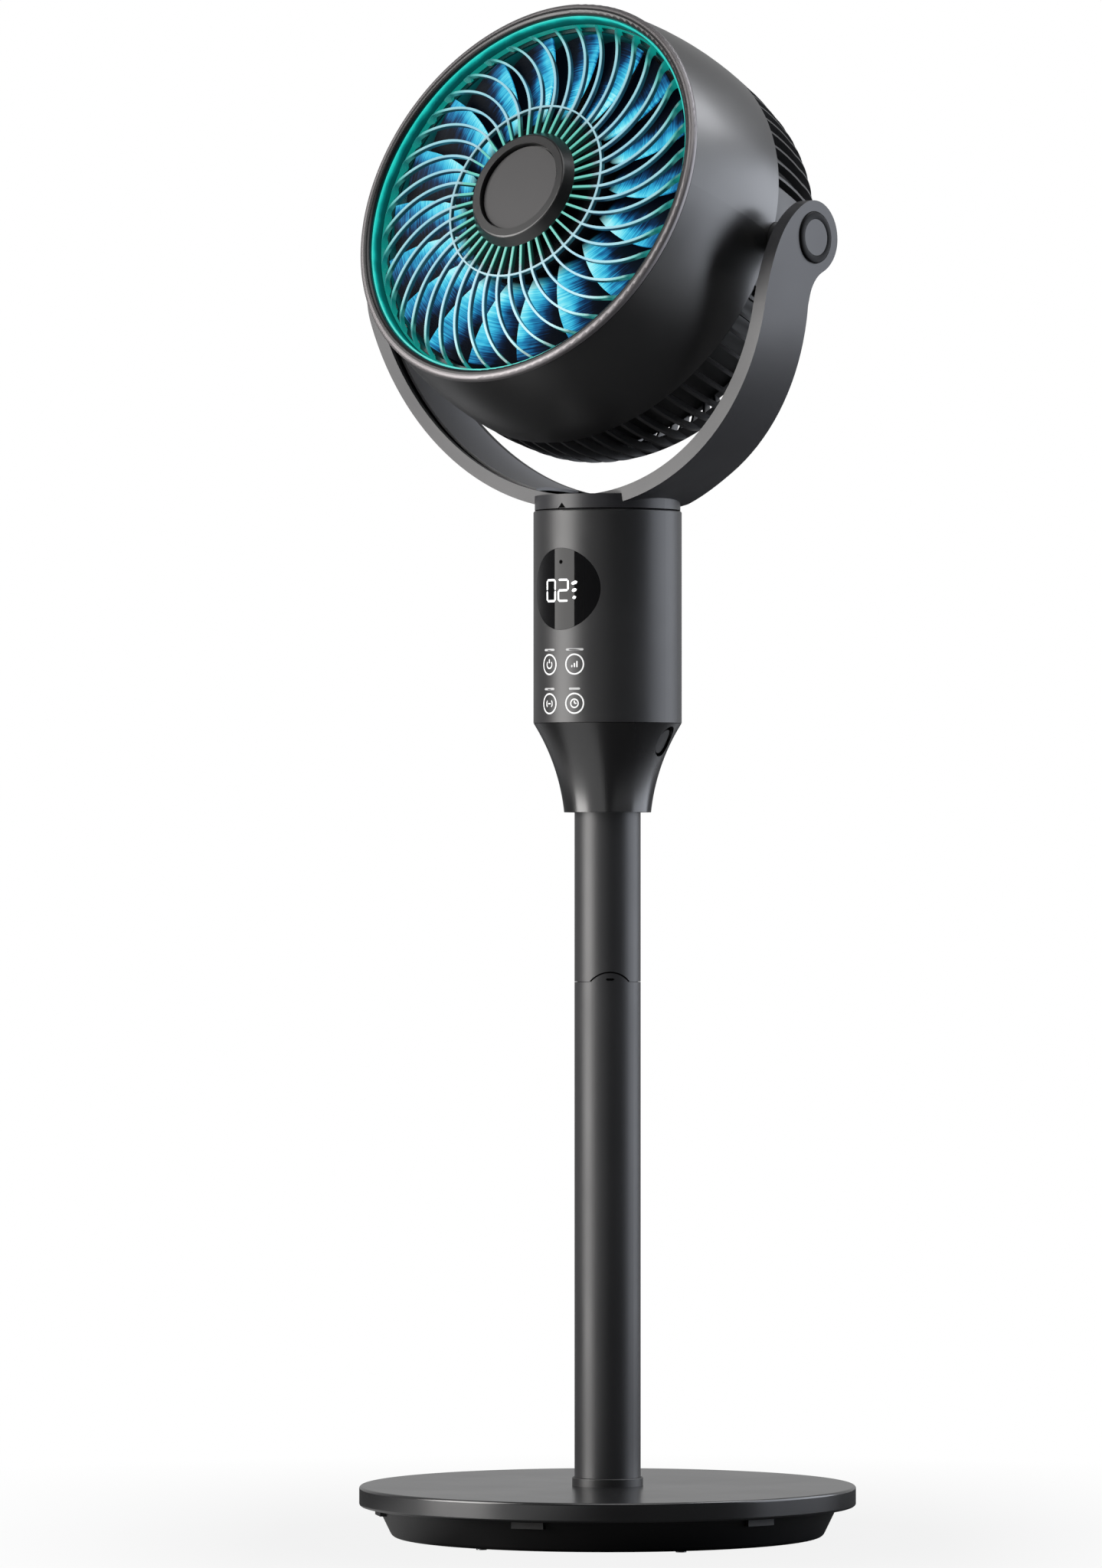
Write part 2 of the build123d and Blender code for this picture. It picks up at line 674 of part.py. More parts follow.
# Control column: floor, outer tube with a round window, and the display behind it
with BuildPart() as column_floor:
    with BuildSketch(Plane.XY.offset(COLUMN_BOTTOM)):
        Circle(COLUMN_IN_R - SLIP)
        Circle(CABLE_BORE_R, mode=Mode.SUBTRACT)
    extrude(amount=FLOOR_T)
    with BuildSketch(Plane.XY.offset(COLUMN_BOTTOM)):
        lip_r = flare_point(1, NECK_WALL)[0] - FLOOR_LIP_H
        Circle(lip_r)
        Circle(lip_r - FLOOR_LIP_W, mode=Mode.SUBTRACT)
    extrude(amount=-FLOOR_LIP_H)
    with BuildSketch(Plane.XY.offset(COLUMN_FLOOR)):
        with Locations((0, MAIN_BOARD_Y)):
            Rectangle(MAIN_BOARD_W, BOARD_T + 2 * RAIL_W)
            Rectangle(MAIN_BOARD_W, BOARD_T + 2 * SLIP, mode=Mode.SUBTRACT)
    extrude(amount=RAIL_H)
    with BuildSketch(Plane.XY.offset(COLUMN_BOTTOM)):
        with Locations(*NECK_POINTS):
            Circle(SCREW_R + SLIP)
    extrude(amount=FLOOR_T, mode=Mode.SUBTRACT)
    with BuildSketch(Plane.XY.offset(COLUMN_FLOOR)):
        with Locations(*NECK_POINTS):
            Circle(SCREW_HEAD_R + SLIP)
    extrude(amount=RAIL_H, mode=Mode.SUBTRACT)
write(column_floor, "column_floor")

with BuildPart() as column_shell:
    with BuildSketch(Plane.XY.offset(COLUMN_BOTTOM)):
        Circle(COLUMN_R)
        Circle(COLUMN_IN_R, mode=Mode.SUBTRACT)
    extrude(amount=COLUMN_H)
    fillet(column_shell.edges().group_by(Axis.Z)[-1].sort_by(SortBy.RADIUS)[-1], radius=COLUMN_EDGE_R)
    with BuildSketch(outward(0, DISPLAY_Z)):
        Circle(DISPLAY_R + SLIP)
    extrude(amount=2 * COLUMN_R, mode=Mode.SUBTRACT)
    with BuildSketch(outward(180, COLUMN_BOTTOM + INLET_H)):
        Circle(INLET_NOSE_R + SLIP)
    extrude(amount=2 * COLUMN_R, mode=Mode.SUBTRACT)
write(column_shell, "column_shell")

with BuildPart() as display_lens:
    with BuildSketch(Plane.XY.offset(DISPLAY_Z - DISPLAY_R)):
        Circle(COLUMN_R)
        Circle(COLUMN_IN_R, mode=Mode.SUBTRACT)
    extrude(amount=2 * DISPLAY_R)
    with BuildSketch(outward(0, DISPLAY_Z)):
        Circle(DISPLAY_R)
    extrude(amount=2 * COLUMN_R, mode=Mode.INTERSECT)
write(display_lens, "display_lens")

with BuildPart() as display_frame:
    with BuildSketch(Plane.XY.offset(DISPLAY_Z - 2 * DISPLAY_R)):
        Circle(COLUMN_IN_R - SLIP)
        Circle(COLUMN_IN_R - SLIP - DISPLAY_FRAME_T, mode=Mode.SUBTRACT)
    extrude(amount=4 * DISPLAY_R)
    with BuildSketch(outward(0, DISPLAY_Z)):
        Circle(DISPLAY_R + DISPLAY_SEAT_W)
        Rectangle(DIGITS_W + 2 * SEAM, DIGITS_H + 2 * SEAM, mode=Mode.SUBTRACT)
    extrude(amount=2 * COLUMN_R, mode=Mode.INTERSECT)
write(display_frame, "display_frame")

# Boards: each flat board reaches the curved wall in front of it with its two upright edges
FRAME_IN_R = COLUMN_IN_R - SLIP - DISPLAY_FRAME_T
DISPLAY_BOARD_FRONT = sqrt(FRAME_IN_R**2 - (DISPLAY_BOARD_W / 2) ** 2) - SLIP
TOUCH_BOARD_FRONT = sqrt(COLUMN_IN_R**2 - (TOUCH_BOARD_W / 2) ** 2) - SLIP
DIGITS_FRONT = sqrt((COLUMN_IN_R - SLIP) ** 2 - (DIGITS_W / 2) ** 2) - SEAM

with BuildPart() as display_board:
    with BuildSketch(outward(0, DISPLAY_Z).offset(DISPLAY_BOARD_FRONT)):
        Rectangle(DISPLAY_BOARD_W, DISPLAY_BOARD_H)
    extrude(amount=-BOARD_T)
write(display_board, "display_board")

with BuildPart() as digit_block:
    with BuildSketch(outward(0, DISPLAY_Z).offset(DISPLAY_BOARD_FRONT)):
        Rectangle(DIGITS_W, DIGITS_H)
    extrude(amount=DIGITS_FRONT - DISPLAY_BOARD_FRONT)
write(digit_block, "digit_block")

with BuildPart() as touch_board:
    with BuildSketch(outward(0, COLUMN_FLOOR).offset(TOUCH_BOARD_FRONT)):
        Rectangle(TOUCH_BOARD_W, TOUCH_BOARD_H, align=(Align.CENTER, Align.MIN))
    extrude(amount=-BOARD_T)
write(touch_board, "touch_board")

with BuildPart() as main_board:
    with BuildSketch(outward(180, COLUMN_FLOOR).offset(MAIN_BOARD_Y - BOARD_T / 2)):
        Rectangle(MAIN_BOARD_W - 2 * SEAM, MAIN_BOARD_H, align=(Align.CENTER, Align.MIN))
    extrude(amount=BOARD_T)
    with BuildSketch(outward(0, COLUMN_FLOOR + MAIN_BOARD_H / 2).offset(BOARD_T / 2 - MAIN_BOARD_Y)):
        with GridLocations(3 * CAPACITOR_R, 3 * CAPACITOR_R, 2, 2):
            Circle(CAPACITOR_R)
    extrude(amount=CAPACITOR_L)
    with BuildSketch(outward(180, COLUMN_FLOOR + MAIN_BOARD_H / 2).offset(MAIN_BOARD_Y + BOARD_T / 2)):
        with GridLocations(2 * CHIP_W, 2 * CHIP_W, 2, 2):
            Rectangle(CHIP_W, CHIP_W)
    extrude(amount=CHIP_T)
write(main_board, "main_board")

with BuildPart() as power_inlet:
    with BuildSketch(outward(180, COLUMN_BOTTOM + INLET_H).offset(MAIN_BOARD_Y + BOARD_T / 2)):
        Rectangle(INLET_W, INLET_W)
    extrude(amount=COLUMN_IN_R - MAIN_BOARD_Y - BOARD_T / 2 - SEAM)
    with BuildSketch(outward(180, COLUMN_BOTTOM + INLET_H).offset(COLUMN_IN_R - 2 * SEAM)):
        Circle(INLET_NOSE_R)
    extrude(amount=COLUMN_WALL)
    with BuildSketch(outward(180, COLUMN_BOTTOM + INLET_H).offset(COLUMN_R)):
        Circle(INLET_BORE_R)
        Circle(INLET_PIN_R, mode=Mode.SUBTRACT)
    extrude(amount=-INLET_BORE_L, mode=Mode.SUBTRACT)
write(power_inlet, "power_inlet")

# Top plate of the column: holds the swivel bush, and the swing motor on two posts
with BuildPart() as column_top:
    with BuildSketch(Plane.XY.offset(PLATE_BOTTOM)):
        Circle(COLUMN_IN_R - SLIP)
        Circle(BUSH_R + SLIP, mode=Mode.SUBTRACT)
    extrude(amount=TOP_PLATE_T)
    with BuildSketch(Plane.XY.offset(PLATE_BOTTOM)):
        with Locations(*EAR_POINTS):
            Circle(EAR_R - SEAM)
    extrude(amount=-(PLATE_BOTTOM - SWING_MOTOR_TOP))
    with BuildSketch(Plane.XY.offset(SWING_MOTOR_TOP)):
        with Locations(*EAR_POINTS):
            Circle(SCREW_R + SLIP)
    extrude(amount=SCREW_L, mode=Mode.SUBTRACT)
write(column_top, "column_top")

with BuildPart() as swivel_bush:
    with BuildSketch(Plane.XY.offset(BUSH_BOTTOM)):
        Circle(BUSH_R)
    extrude(amount=BUSH_L)
    with BuildSketch(Plane.XY.offset(PLATE_TOP)):
        Circle(BUSH_R + BUSH_FLANGE_W)
    extrude(amount=HUB_BOTTOM - SEAM - PLATE_TOP)
    with BuildSketch(Plane.XY.offset(BUSH_BOTTOM)):
        Circle(SPINDLE_R + RUN)
    extrude(amount=HUB_BOTTOM - BUSH_BOTTOM, mode=Mode.SUBTRACT)
write(swivel_bush, "swivel_bush")

with BuildPart() as swing_motor:
    with BuildSketch(Plane.XY.offset(SWING_MOTOR_TOP)):
        with Locations((GEAR_CENTRES, 0)):
            Circle(SWING_MOTOR_R)
    extrude(amount=-SWING_MOTOR_H)
    with BuildSketch(Plane.XY.offset(SWING_MOTOR_TOP)):
        with Locations((GEAR_CENTRES, 0)):
            SlotCenterToCenter(2 * EAR_PITCH, 2 * EAR_R, rotation=90)
        with Locations(*EAR_POINTS):
            Circle(SCREW_R + SLIP, mode=Mode.SUBTRACT)
    extrude(amount=-EAR_T)
    with BuildSketch(Plane.XY.offset(SWING_MOTOR_TOP)):
        with Locations((GEAR_CENTRES, 0)):
            Circle(SWING_SHAFT_R)
    extrude(amount=MOTOR_GAP + GEAR_W)
write(swing_motor, "swing_motor")

with BuildPart() as swing_pinion:
    with BuildSketch(Plane.XY.offset(GEAR_BOTTOM)):
        with Locations((GEAR_CENTRES, 0)):
            add(gear_face(PINION_TEETH, 180 / PINION_TEETH))
            Circle(SWING_SHAFT_R + RUN, mode=Mode.SUBTRACT)
    extrude(amount=GEAR_W)
write(swing_pinion, "swing_pinion")

# Swivelling spindle: hollow for the wires, with the driven gear and a clip at its foot
with BuildPart() as swing_gear:
    with BuildSketch(Plane.XY.offset(GEAR_BOTTOM)):
        add(gear_face(GEAR_TEETH, 0))
    extrude(amount=GEAR_W)
    with BuildSketch(Plane.XY.offset(GEAR_TOP)):
        Circle(SPINDLE_R + GEAR_HUB_WALL)
    extrude(amount=BUSH_BOTTOM - SEAM - GEAR_TOP)
    with BuildSketch(Plane.XY.offset(GEAR_BOTTOM)):
        Circle(SPINDLE_R + RUN)
    extrude(amount=BUSH_BOTTOM - GEAR_BOTTOM, mode=Mode.SUBTRACT)
write(swing_gear, "swing_gear")

with BuildPart() as spindle:
    with BuildSketch(Plane.XY.offset(SPINDLE_BOTTOM)):
        Circle(SPINDLE_R)
        Circle(SPINDLE_BORE_R, mode=Mode.SUBTRACT)
    extrude(amount=SPINDLE_L)
write(spindle, "spindle")

with BuildPart() as spindle_clip:
    with BuildSketch(Plane.XY.offset(SPINDLE_BOTTOM)):
        Circle(SPINDLE_R + CLIP_RING_W)
        Circle(SPINDLE_R + RUN, mode=Mode.SUBTRACT)
    extrude(amount=CLIP_RING_T)
write(spindle_clip, "spindle_clip")

# Tapping screws: tray to cover, column floor to neck, and swing motor to its posts
SCREW_SEATS = [
    (FOOT_H, -1, TRAY_POINTS),
    (COLUMN_FLOOR, 1, NECK_POINTS),
    (SWING_MOTOR_TOP - EAR_T, -1, EAR_POINTS),
]

with BuildPart() as tapping_screws:
    for seat, side, points in SCREW_SEATS:
        with BuildSketch(Plane.XY.offset(seat)):
            with Locations(*points):
                Circle(SCREW_HEAD_R)
        extrude(amount=side * SCREW_HEAD_H)
        with BuildSketch(Plane.XY.offset(seat)):
            with Locations(*points):
                Circle(SCREW_R)
        extrude(amount=-side * SCREW_L)
write(tapping_screws, "tapping_screws")

# Yoke: a half ring seen from the front, cut to the arms' leaning outline seen from the side
YOKE_FRONT = Plane(origin=PIVOT, x_dir=(1, 0, 0), z_dir=(0, -1, 0))
ARM_LOW = HUB_BOTTOM - PIVOT_Z

with BuildSketch(PIVOT_PLANE) as arm_side:
    with BuildLine():
        front = Line((-ARM_FRONT_LOW, ARM_LOW), (-ARM_FRONT_HIGH, -ARM_SHOULDER_DROP))
        corner = front @ 1
        inward = Vector((front % 1).Y, -(front % 1).X)
        # the shoulder's arc leaves the front edge smoothly and closes smoothly on the ear's circle
        shoulder_r = (corner.dot(corner) - EAR_HEAD_R**2) / (-2 * (EAR_HEAD_R + corner.dot(inward)))
        shoulder_centre = corner + inward * shoulder_r
        shoulder_end = -shoulder_centre.normalized() * EAR_HEAD_R
        shoulder = TangentArc(corner, shoulder_end, tangent=front % 1)
        back = Line((ARM_BACK_HIGH, -ARM_SHOULDER_DROP), (ARM_BACK_LOW, ARM_LOW + ARM_BACK_LOW_H))
        flare = TangentArc(back @ 1, (ARM_BACK_FLARE, ARM_LOW + ARM_BACK_FLARE_H), tangent=back % 1)
        Polyline(shoulder @ 1, (0, 0), back @ 0)
        Polyline(flare @ 1, (ARM_BACK_FLARE, ARM_LOW), front @ 0)
    make_face()
    Circle(EAR_HEAD_R)
    fillet(arm_side.vertices().sort_by_distance((ARM_BACK_HIGH, -EAR_HEAD_R))[0], radius=NECK_BLEND_R)


def half_ring(outer_r, inner_r, ear_top):
    """Lower half of a ring about the pivot axis, with upright ends that reach above it."""
    with BuildSketch(YOKE_FRONT) as band:
        Circle(outer_r)
        Circle(inner_r, mode=Mode.SUBTRACT)
        Rectangle(3 * outer_r, 2 * outer_r, align=(Align.CENTER, Align.MIN), mode=Mode.SUBTRACT)
        if ear_top > 0:
            for end in (1, -1):
                with Locations((end * (outer_r + inner_r) / 2, 0)):
                    Rectangle(outer_r - inner_r, ear_top, align=(Align.CENTER, Align.MIN))
        else:
            with Locations((0, ear_top)):
                Rectangle(3 * outer_r, outer_r, align=(Align.CENTER, Align.MIN), mode=Mode.SUBTRACT)
    return band.sketch


with BuildPart() as channel:
    groove_band = half_ring(YOKE_R - CHANNEL_WALL, YOKE_IN_R - SEAM, -CHANNEL_TOP_DROP)
    extrude(groove_band, amount=2 * HUB_R, both=True)
    with BuildSketch(PIVOT_PLANE):
        add(arm_side.sketch_local)
        offset(amount=-CHANNEL_LIP, mode=Mode.REPLACE)
    extrude(amount=2 * YOKE_R, both=True, mode=Mode.INTERSECT)

with BuildPart() as yoke:
    extrude(half_ring(YOKE_R, YOKE_IN_R, 2 * EAR_HEAD_R), amount=2 * HUB_R, both=True)
    with BuildSketch(PIVOT_PLANE):
        add(arm_side.sketch_local)
    extrude(amount=2 * YOKE_R, both=True, mode=Mode.INTERSECT)
    add(channel.part, mode=Mode.SUBTRACT)
    with BuildSketch(Plane.XY.offset(HUB_BOTTOM)):
        Circle(HUB_R)
    extrude(amount=HUB_H)
    with BuildSketch(Plane.XY.offset(HUB_BOTTOM)):
        Circle(SPINDLE_R + SLIP)
    extrude(amount=SPINDLE_INSET + SEAM, mode=Mode.SUBTRACT)
    with BuildSketch(Plane.XY.offset(HUB_BOTTOM)):
        Circle(SPINDLE_BORE_R)
    extrude(amount=HUB_H, mode=Mode.SUBTRACT)
    with BuildSketch(outward(0, HUB_BOTTOM).offset(HUB_R - POINTER_DEPTH)):
        Triangle(a=POINTER_W, b=POINTER_H, c=POINTER_H, align=(Align.CENTER, Align.MIN))
    extrude(amount=HUB_R, mode=Mode.SUBTRACT)
    for end in (1, -1):
        with BuildSketch(PIVOT_PLANE.offset(end * YOKE_R)):
            Circle(CAP_R + CAP_GROOVE)
        extrude(amount=-end * CAP_DEPTH, mode=Mode.SUBTRACT)
        with BuildSketch(PIVOT_PLANE.offset(end * (YOKE_R - CAP_DEPTH))):
            Circle(PIVOT_PIN_HEAD_R + SLIP)
        extrude(amount=-end * (PIVOT_PIN_HEAD_T + SLIP), mode=Mode.SUBTRACT)
        with BuildSketch(PIVOT_PLANE.offset(end * YOKE_R)):
            Circle(PIVOT_PIN_R + SLIP)
        extrude(amount=-end * 2 * YOKE_T, mode=Mode.SUBTRACT)
write(yoke, "yoke")

with BuildPart() as yoke_liner:
    liner_band = half_ring(YOKE_IN_R + LINER_T, YOKE_IN_R, -CHANNEL_TOP_DROP - SEAM)
    extrude(liner_band, amount=2 * HUB_R, both=True)
    with BuildSketch(PIVOT_PLANE):
        add(arm_side.sketch_local)
        offset(amount=-CHANNEL_LIP - SEAM, mode=Mode.REPLACE)
    extrude(amount=2 * YOKE_R, both=True, mode=Mode.INTERSECT)
    with BuildSketch(PIVOT_PLANE):
        with Locations((LINER_SET_BACK, 0)):
            add(arm_side.sketch_local)
        offset(amount=-CHANNEL_LIP - SEAM, mode=Mode.REPLACE)
    extrude(amount=2 * YOKE_R, both=True, mode=Mode.INTERSECT)
    with BuildSketch(Plane.XY.offset(HUB_BOTTOM)):
        Circle(HUB_R + SEAM)
    extrude(amount=YOKE_R, mode=Mode.SUBTRACT)
write(yoke_liner, "yoke_liner")

# Tilt pivots: a headed pin and a cap in each ear, a bush in each boss of the head, and friction washers
PIN_SEAT = YOKE_R - CAP_DEPTH - PIVOT_PIN_HEAD_T

for end, name in ((1, "right"), (-1, "left")):
    with BuildPart() as pivot_pin:
        with BuildSketch(PIVOT_PLANE.offset(end * PIN_SEAT)):
            Circle(PIVOT_PIN_HEAD_R)
        extrude(amount=end * PIVOT_PIN_HEAD_T)
        with BuildSketch(PIVOT_PLANE.offset(end * PIN_SEAT)):
            Circle(PIVOT_PIN_R)
        extrude(amount=-end * PIVOT_PIN_L)
    write(pivot_pin, f"pivot_pin_{name}")

    with BuildPart() as pivot_cap:
        with BuildSketch(PIVOT_PLANE.offset(end * (YOKE_R - CAP_DEPTH + SLIP))):
            Circle(CAP_R)
        extrude(amount=end * (CAP_DEPTH - SLIP + CAP_PROUD))
        fillet(pivot_cap.faces().sort_by(Axis.X)[-1 if end > 0 else 0].edges(), radius=CAP_EDGE_R)
    write(pivot_cap, f"pivot_cap_{name}")

with BuildPart() as tilt_bushes:
    for end in (1, -1):
        with BuildSketch(PIVOT_PLANE.offset(end * BOSS_END)):
            Circle(TILT_BUSH_R)
            Circle(PIVOT_PIN_R + RUN, mode=Mode.SUBTRACT)
        extrude(amount=-end * TILT_BUSH_L)
write(tilt_bushes, "tilt_bushes")

with BuildPart() as friction_washers:
    for end in (1, -1):
        with BuildSketch(PIVOT_PLANE.offset(end * WASHER_SEAT)):
            Circle(WASHER_R)
            Circle(PIVOT_PIN_R + SLIP, mode=Mode.SUBTRACT)
        extrude(amount=-end * WASHER_T)
write(friction_washers, "friction_washers")

# Barrel of the head, with a notch at each pivot boss
with BuildPart() as shroud:
    with BuildSketch(HEAD_SECTION):
        with BuildLine():
            ThreePointArc(
                (BARREL_FRONT_R, BARREL_FRONT),
                (BARREL_MID_R, BARREL_MID),
                (BARREL_REAR_R, BARREL_REAR),
            )
            offset(amount=BARREL_WALL, side=Side.RIGHT, closed=True)
        make_face()
    revolve(axis=FAN_AXIS)
    with BuildSketch(PIVOT_PLANE):
        Circle(BOSS_R + SEAM)
    extrude(amount=2 * BARREL_REAR_R, both=True, mode=Mode.SUBTRACT)
write(shroud, "shroud")

with BuildPart() as front_rim:
    with BuildSketch(HEAD_SECTION) as rim_section:
        with BuildLine():
            Polyline(
                (RIM_R_IN, RIM_SKIRT_REAR),
                (RIM_R_IN + RIM_SKIRT_T, RIM_SKIRT_REAR),
                (RIM_R_IN + RIM_SKIRT_T, BARREL_FRONT + RIM_GROOVE),
                (RIM_R_OUT, BARREL_FRONT + RIM_GROOVE),
                (RIM_R_OUT, RIM_FRONT),
                (RIM_R_IN, RIM_FRONT),
                close=True,
            )
        make_face()
        fillet(rim_section.vertices().group_by(Axis.Y)[-1], radius=RIM_NOSE_R)
    revolve(axis=FAN_AXIS)
write(front_rim, "front_rim")

with BuildPart() as light_ring:
    with BuildSketch(HEAD.offset(GRILLE_FOOT)):
        Circle(RING_R_OUT)
        Circle(RING_R_IN, mode=Mode.SUBTRACT)
    extrude(amount=RING_FRONT - GRILLE_FOOT)
write(light_ring, "light_ring")

with BuildPart() as led_board:
    with BuildSketch(HEAD.offset(DUCT_FRONT)):
        Circle(DUCT_R + LED_BOARD_W)
        Circle(DUCT_R, mode=Mode.SUBTRACT)
    extrude(amount=LED_BOARD_T)
write(led_board, "led_board")

# Air duct: a tube held by two flanges, with a tail that reaches back into the rear guard
with BuildPart() as air_duct:
    with BuildSketch(HEAD.offset(DUCT_TAIL)):
        Circle(DUCT_R + DUCT_WALL)
    extrude(amount=DUCT_FRONT - DUCT_TAIL)
    with BuildSketch(HEAD.offset(DUCT_REAR)):
        Circle(GUARD_SPIGOT_R)
    extrude(amount=DUCT_FLANGE_T)
    with BuildSketch(HEAD.offset(DUCT_FRONT)):
        Circle(RIM_R_IN + RIM_SKIRT_T)
    extrude(amount=-DUCT_FLANGE_T)
    with BuildSketch(HEAD.offset(DUCT_TAIL)):
        Circle(DUCT_R)
    extrude(amount=DUCT_FRONT - DUCT_TAIL, mode=Mode.SUBTRACT)
write(air_duct, "air_duct")

# Front grille: straight ribs in a thin ring, swirl ribs round it, all cut from a dome with a rolled edge
def swirl(radius, turn):
    """Point of the grille's plan at a radius, turned round the fan's axis."""
    return (radius * cos(radians(turn)), radius * sin(radians(turn)))


with BuildSketch() as swirl_rib:
    with BuildLine():
        ThreePointArc(
            swirl(GRILLE_RING_R, 0),
            swirl((GRILLE_RING_R + GRILLE_R) / 2, RIB_BOW),
            swirl(GRILLE_R - GRILLE_EDGE_W / 2, RIB_SWEEP),
        )
    trace(line_width=RIB_W)

with BuildSketch() as thin_ring:
    Circle(GRILLE_RING_R + GRILLE_RING_W / 2)
    Circle(GRILLE_RING_R - GRILLE_RING_W / 2, mode=Mode.SUBTRACT)

with BuildPart() as front_grille:
    with BuildSketch(HEAD.offset(GRILLE_FOOT)):
        Circle(GRILLE_R)
        Circle(GRILLE_R - GRILLE_EDGE_W, mode=Mode.SUBTRACT)
        with PolarLocations(0, RIB_COUNT):
            add(swirl_rib.sketch)
            with Locations((GRILLE_HUB_R - RIB_W, 0)):
                Rectangle(GRILLE_RING_R - GRILLE_HUB_R + RIB_W, RIB_W, align=(Align.MIN, Align.CENTER))
        add(thin_ring.sketch)
    extrude(amount=GRILLE_CENTRE - GRILLE_FOOT)
    with BuildSketch(HEAD_SECTION):
        with BuildLine():
            dome = ThreePointArc(
                (GRILLE_HUB_R - RIB_W, GRILLE_CENTRE),
                (GRILLE_RING_R, GRILLE_RING_FRONT),
                (GRILLE_SHOULDER_R, GRILLE_SHOULDER),
            )
            flank = ThreePointArc(dome @ 1, (GRILLE_FLANK_R, GRILLE_FLANK), (GRILLE_R, GRILLE_FOOT))
            under = ThreePointArc(
                (GRILLE_HUB_R - RIB_W, GRILLE_CENTRE - RIB_DEPTH),
                (GRILLE_RING_R, GRILLE_RING_FRONT - RIB_DEPTH),
                (GRILLE_SHOULDER_R, GRILLE_SHOULDER - RIB_DEPTH),
            )
            inner_flank = ThreePointArc(
                under @ 1,
                (GRILLE_FLANK_R - RIB_DEPTH * sqrt(0.5), GRILLE_FLANK - RIB_DEPTH * sqrt(0.5)),
                (GRILLE_R - RIB_DEPTH, GRILLE_FOOT),
            )
            Line(dome @ 0, under @ 0)
            Line(flank @ 1, inner_flank @ 1)
        make_face()
    revolve(axis=FAN_AXIS, mode=Mode.INTERSECT)
    with BuildSketch(HEAD.offset(GRILLE_CENTRE)):
        Circle(GRILLE_HUB_R)
    extrude(amount=-RIB_DEPTH)
write(front_grille, "front_grille")

# Hub boss on the grille's centre, with a plain disc sunk into it
HUB_TOP = GRILLE_CENTRE + HUB_BOSS_H
DISC_TOP = HUB_TOP - DISC_SINK

with BuildPart() as hub_boss:
    with BuildSketch(HEAD_SECTION) as boss_section:
        with BuildLine():
            Polyline(
                (0, GRILLE_CENTRE),
                (HUB_BOSS_R, GRILLE_CENTRE),
                (HUB_BOSS_TOP_R, HUB_TOP),
                (DISC_R + 2 * SEAM, HUB_TOP),
                (DISC_R + 2 * SEAM, HUB_TOP - DISC_DEPTH),
                (0, HUB_TOP - DISC_DEPTH),
                close=True,
            )
        make_face()
        fillet(boss_section.vertices().sort_by_distance((HUB_BOSS_TOP_R, HUB_TOP))[0], radius=HUB_EDGE_R)
    revolve(axis=FAN_AXIS)
write(hub_boss, "hub_boss")

with BuildPart() as hub_disc:
    with BuildSketch(HEAD_SECTION):
        with BuildLine():
            crown = ThreePointArc(
                (DISC_R, DISC_TOP - DISC_CROWN),
                (0, DISC_TOP),
                (-DISC_R, DISC_TOP - DISC_CROWN),
            )
            Polyline(
                crown @ 1,
                (-DISC_R, HUB_TOP - DISC_DEPTH),
                (DISC_R, HUB_TOP - DISC_DEPTH),
                crown @ 0,
            )
        make_face()
        Rectangle(2 * DISC_R, 4 * HUB_TOP, align=(Align.MAX, Align.CENTER), mode=Mode.SUBTRACT)
    revolve(axis=FAN_AXIS)
write(hub_disc, "hub_disc")

# Impeller blade, drawn about the vertical axis: three curved sections on planes that face outward
BLADE_ROOT_R = IMPELLER_HUB_R - 4 * IMPELLER_HUB_WALL
BLADE_END_R = BLADE_TIP_R + BLADE_T
BLADE_RADII = (BLADE_ROOT_R, (BLADE_ROOT_R + BLADE_END_R) / 2, BLADE_END_R)


def blade_share(radius):
    """How far out along the blade a radius lies, from 0 at the root to 1 at the tip."""
    return (radius - BLADE_ROOT_R) / (BLADE_END_R - BLADE_ROOT_R)


with BuildPart() as blade:
    for radius, sweep in zip(BLADE_RADII, BLADE_TURNS):
        share = blade_share(radius)
        turn = radians(sweep)
        lead = BLADE_FRONT_ROOT + (BLADE_FRONT_TIP - BLADE_FRONT_ROOT) * share
        run = radius * radians(BLADE_SPREAD)
        fall = BLADE_DEPTH_ROOT + (BLADE_DEPTH_TIP - BLADE_DEPTH_ROOT) * share
        station = Plane(
            origin=(radius * cos(turn), radius * sin(turn), lead),
            x_dir=(-sin(turn), cos(turn), 0),
            z_dir=(cos(turn), sin(turn), 0),
        )
        with BuildSketch(station):
            with BuildLine():
                upper = ThreePointArc((0, 0), (run / 2, BLADE_CAMBER - fall / 2), (run, -fall))
                lower = ThreePointArc(
                    (0, -BLADE_T),
                    (run / 2, BLADE_CAMBER - BLADE_T - fall / 2),
                    (run, -fall - BLADE_T),
                )
                Line(upper @ 0, lower @ 0)
                Line(upper @ 1, lower @ 1)
            make_face()
    loft()
    with BuildSketch():
        Circle(BLADE_TIP_R)
    extrude(amount=2 * BLADE_FRONT_TIP, mode=Mode.INTERSECT)

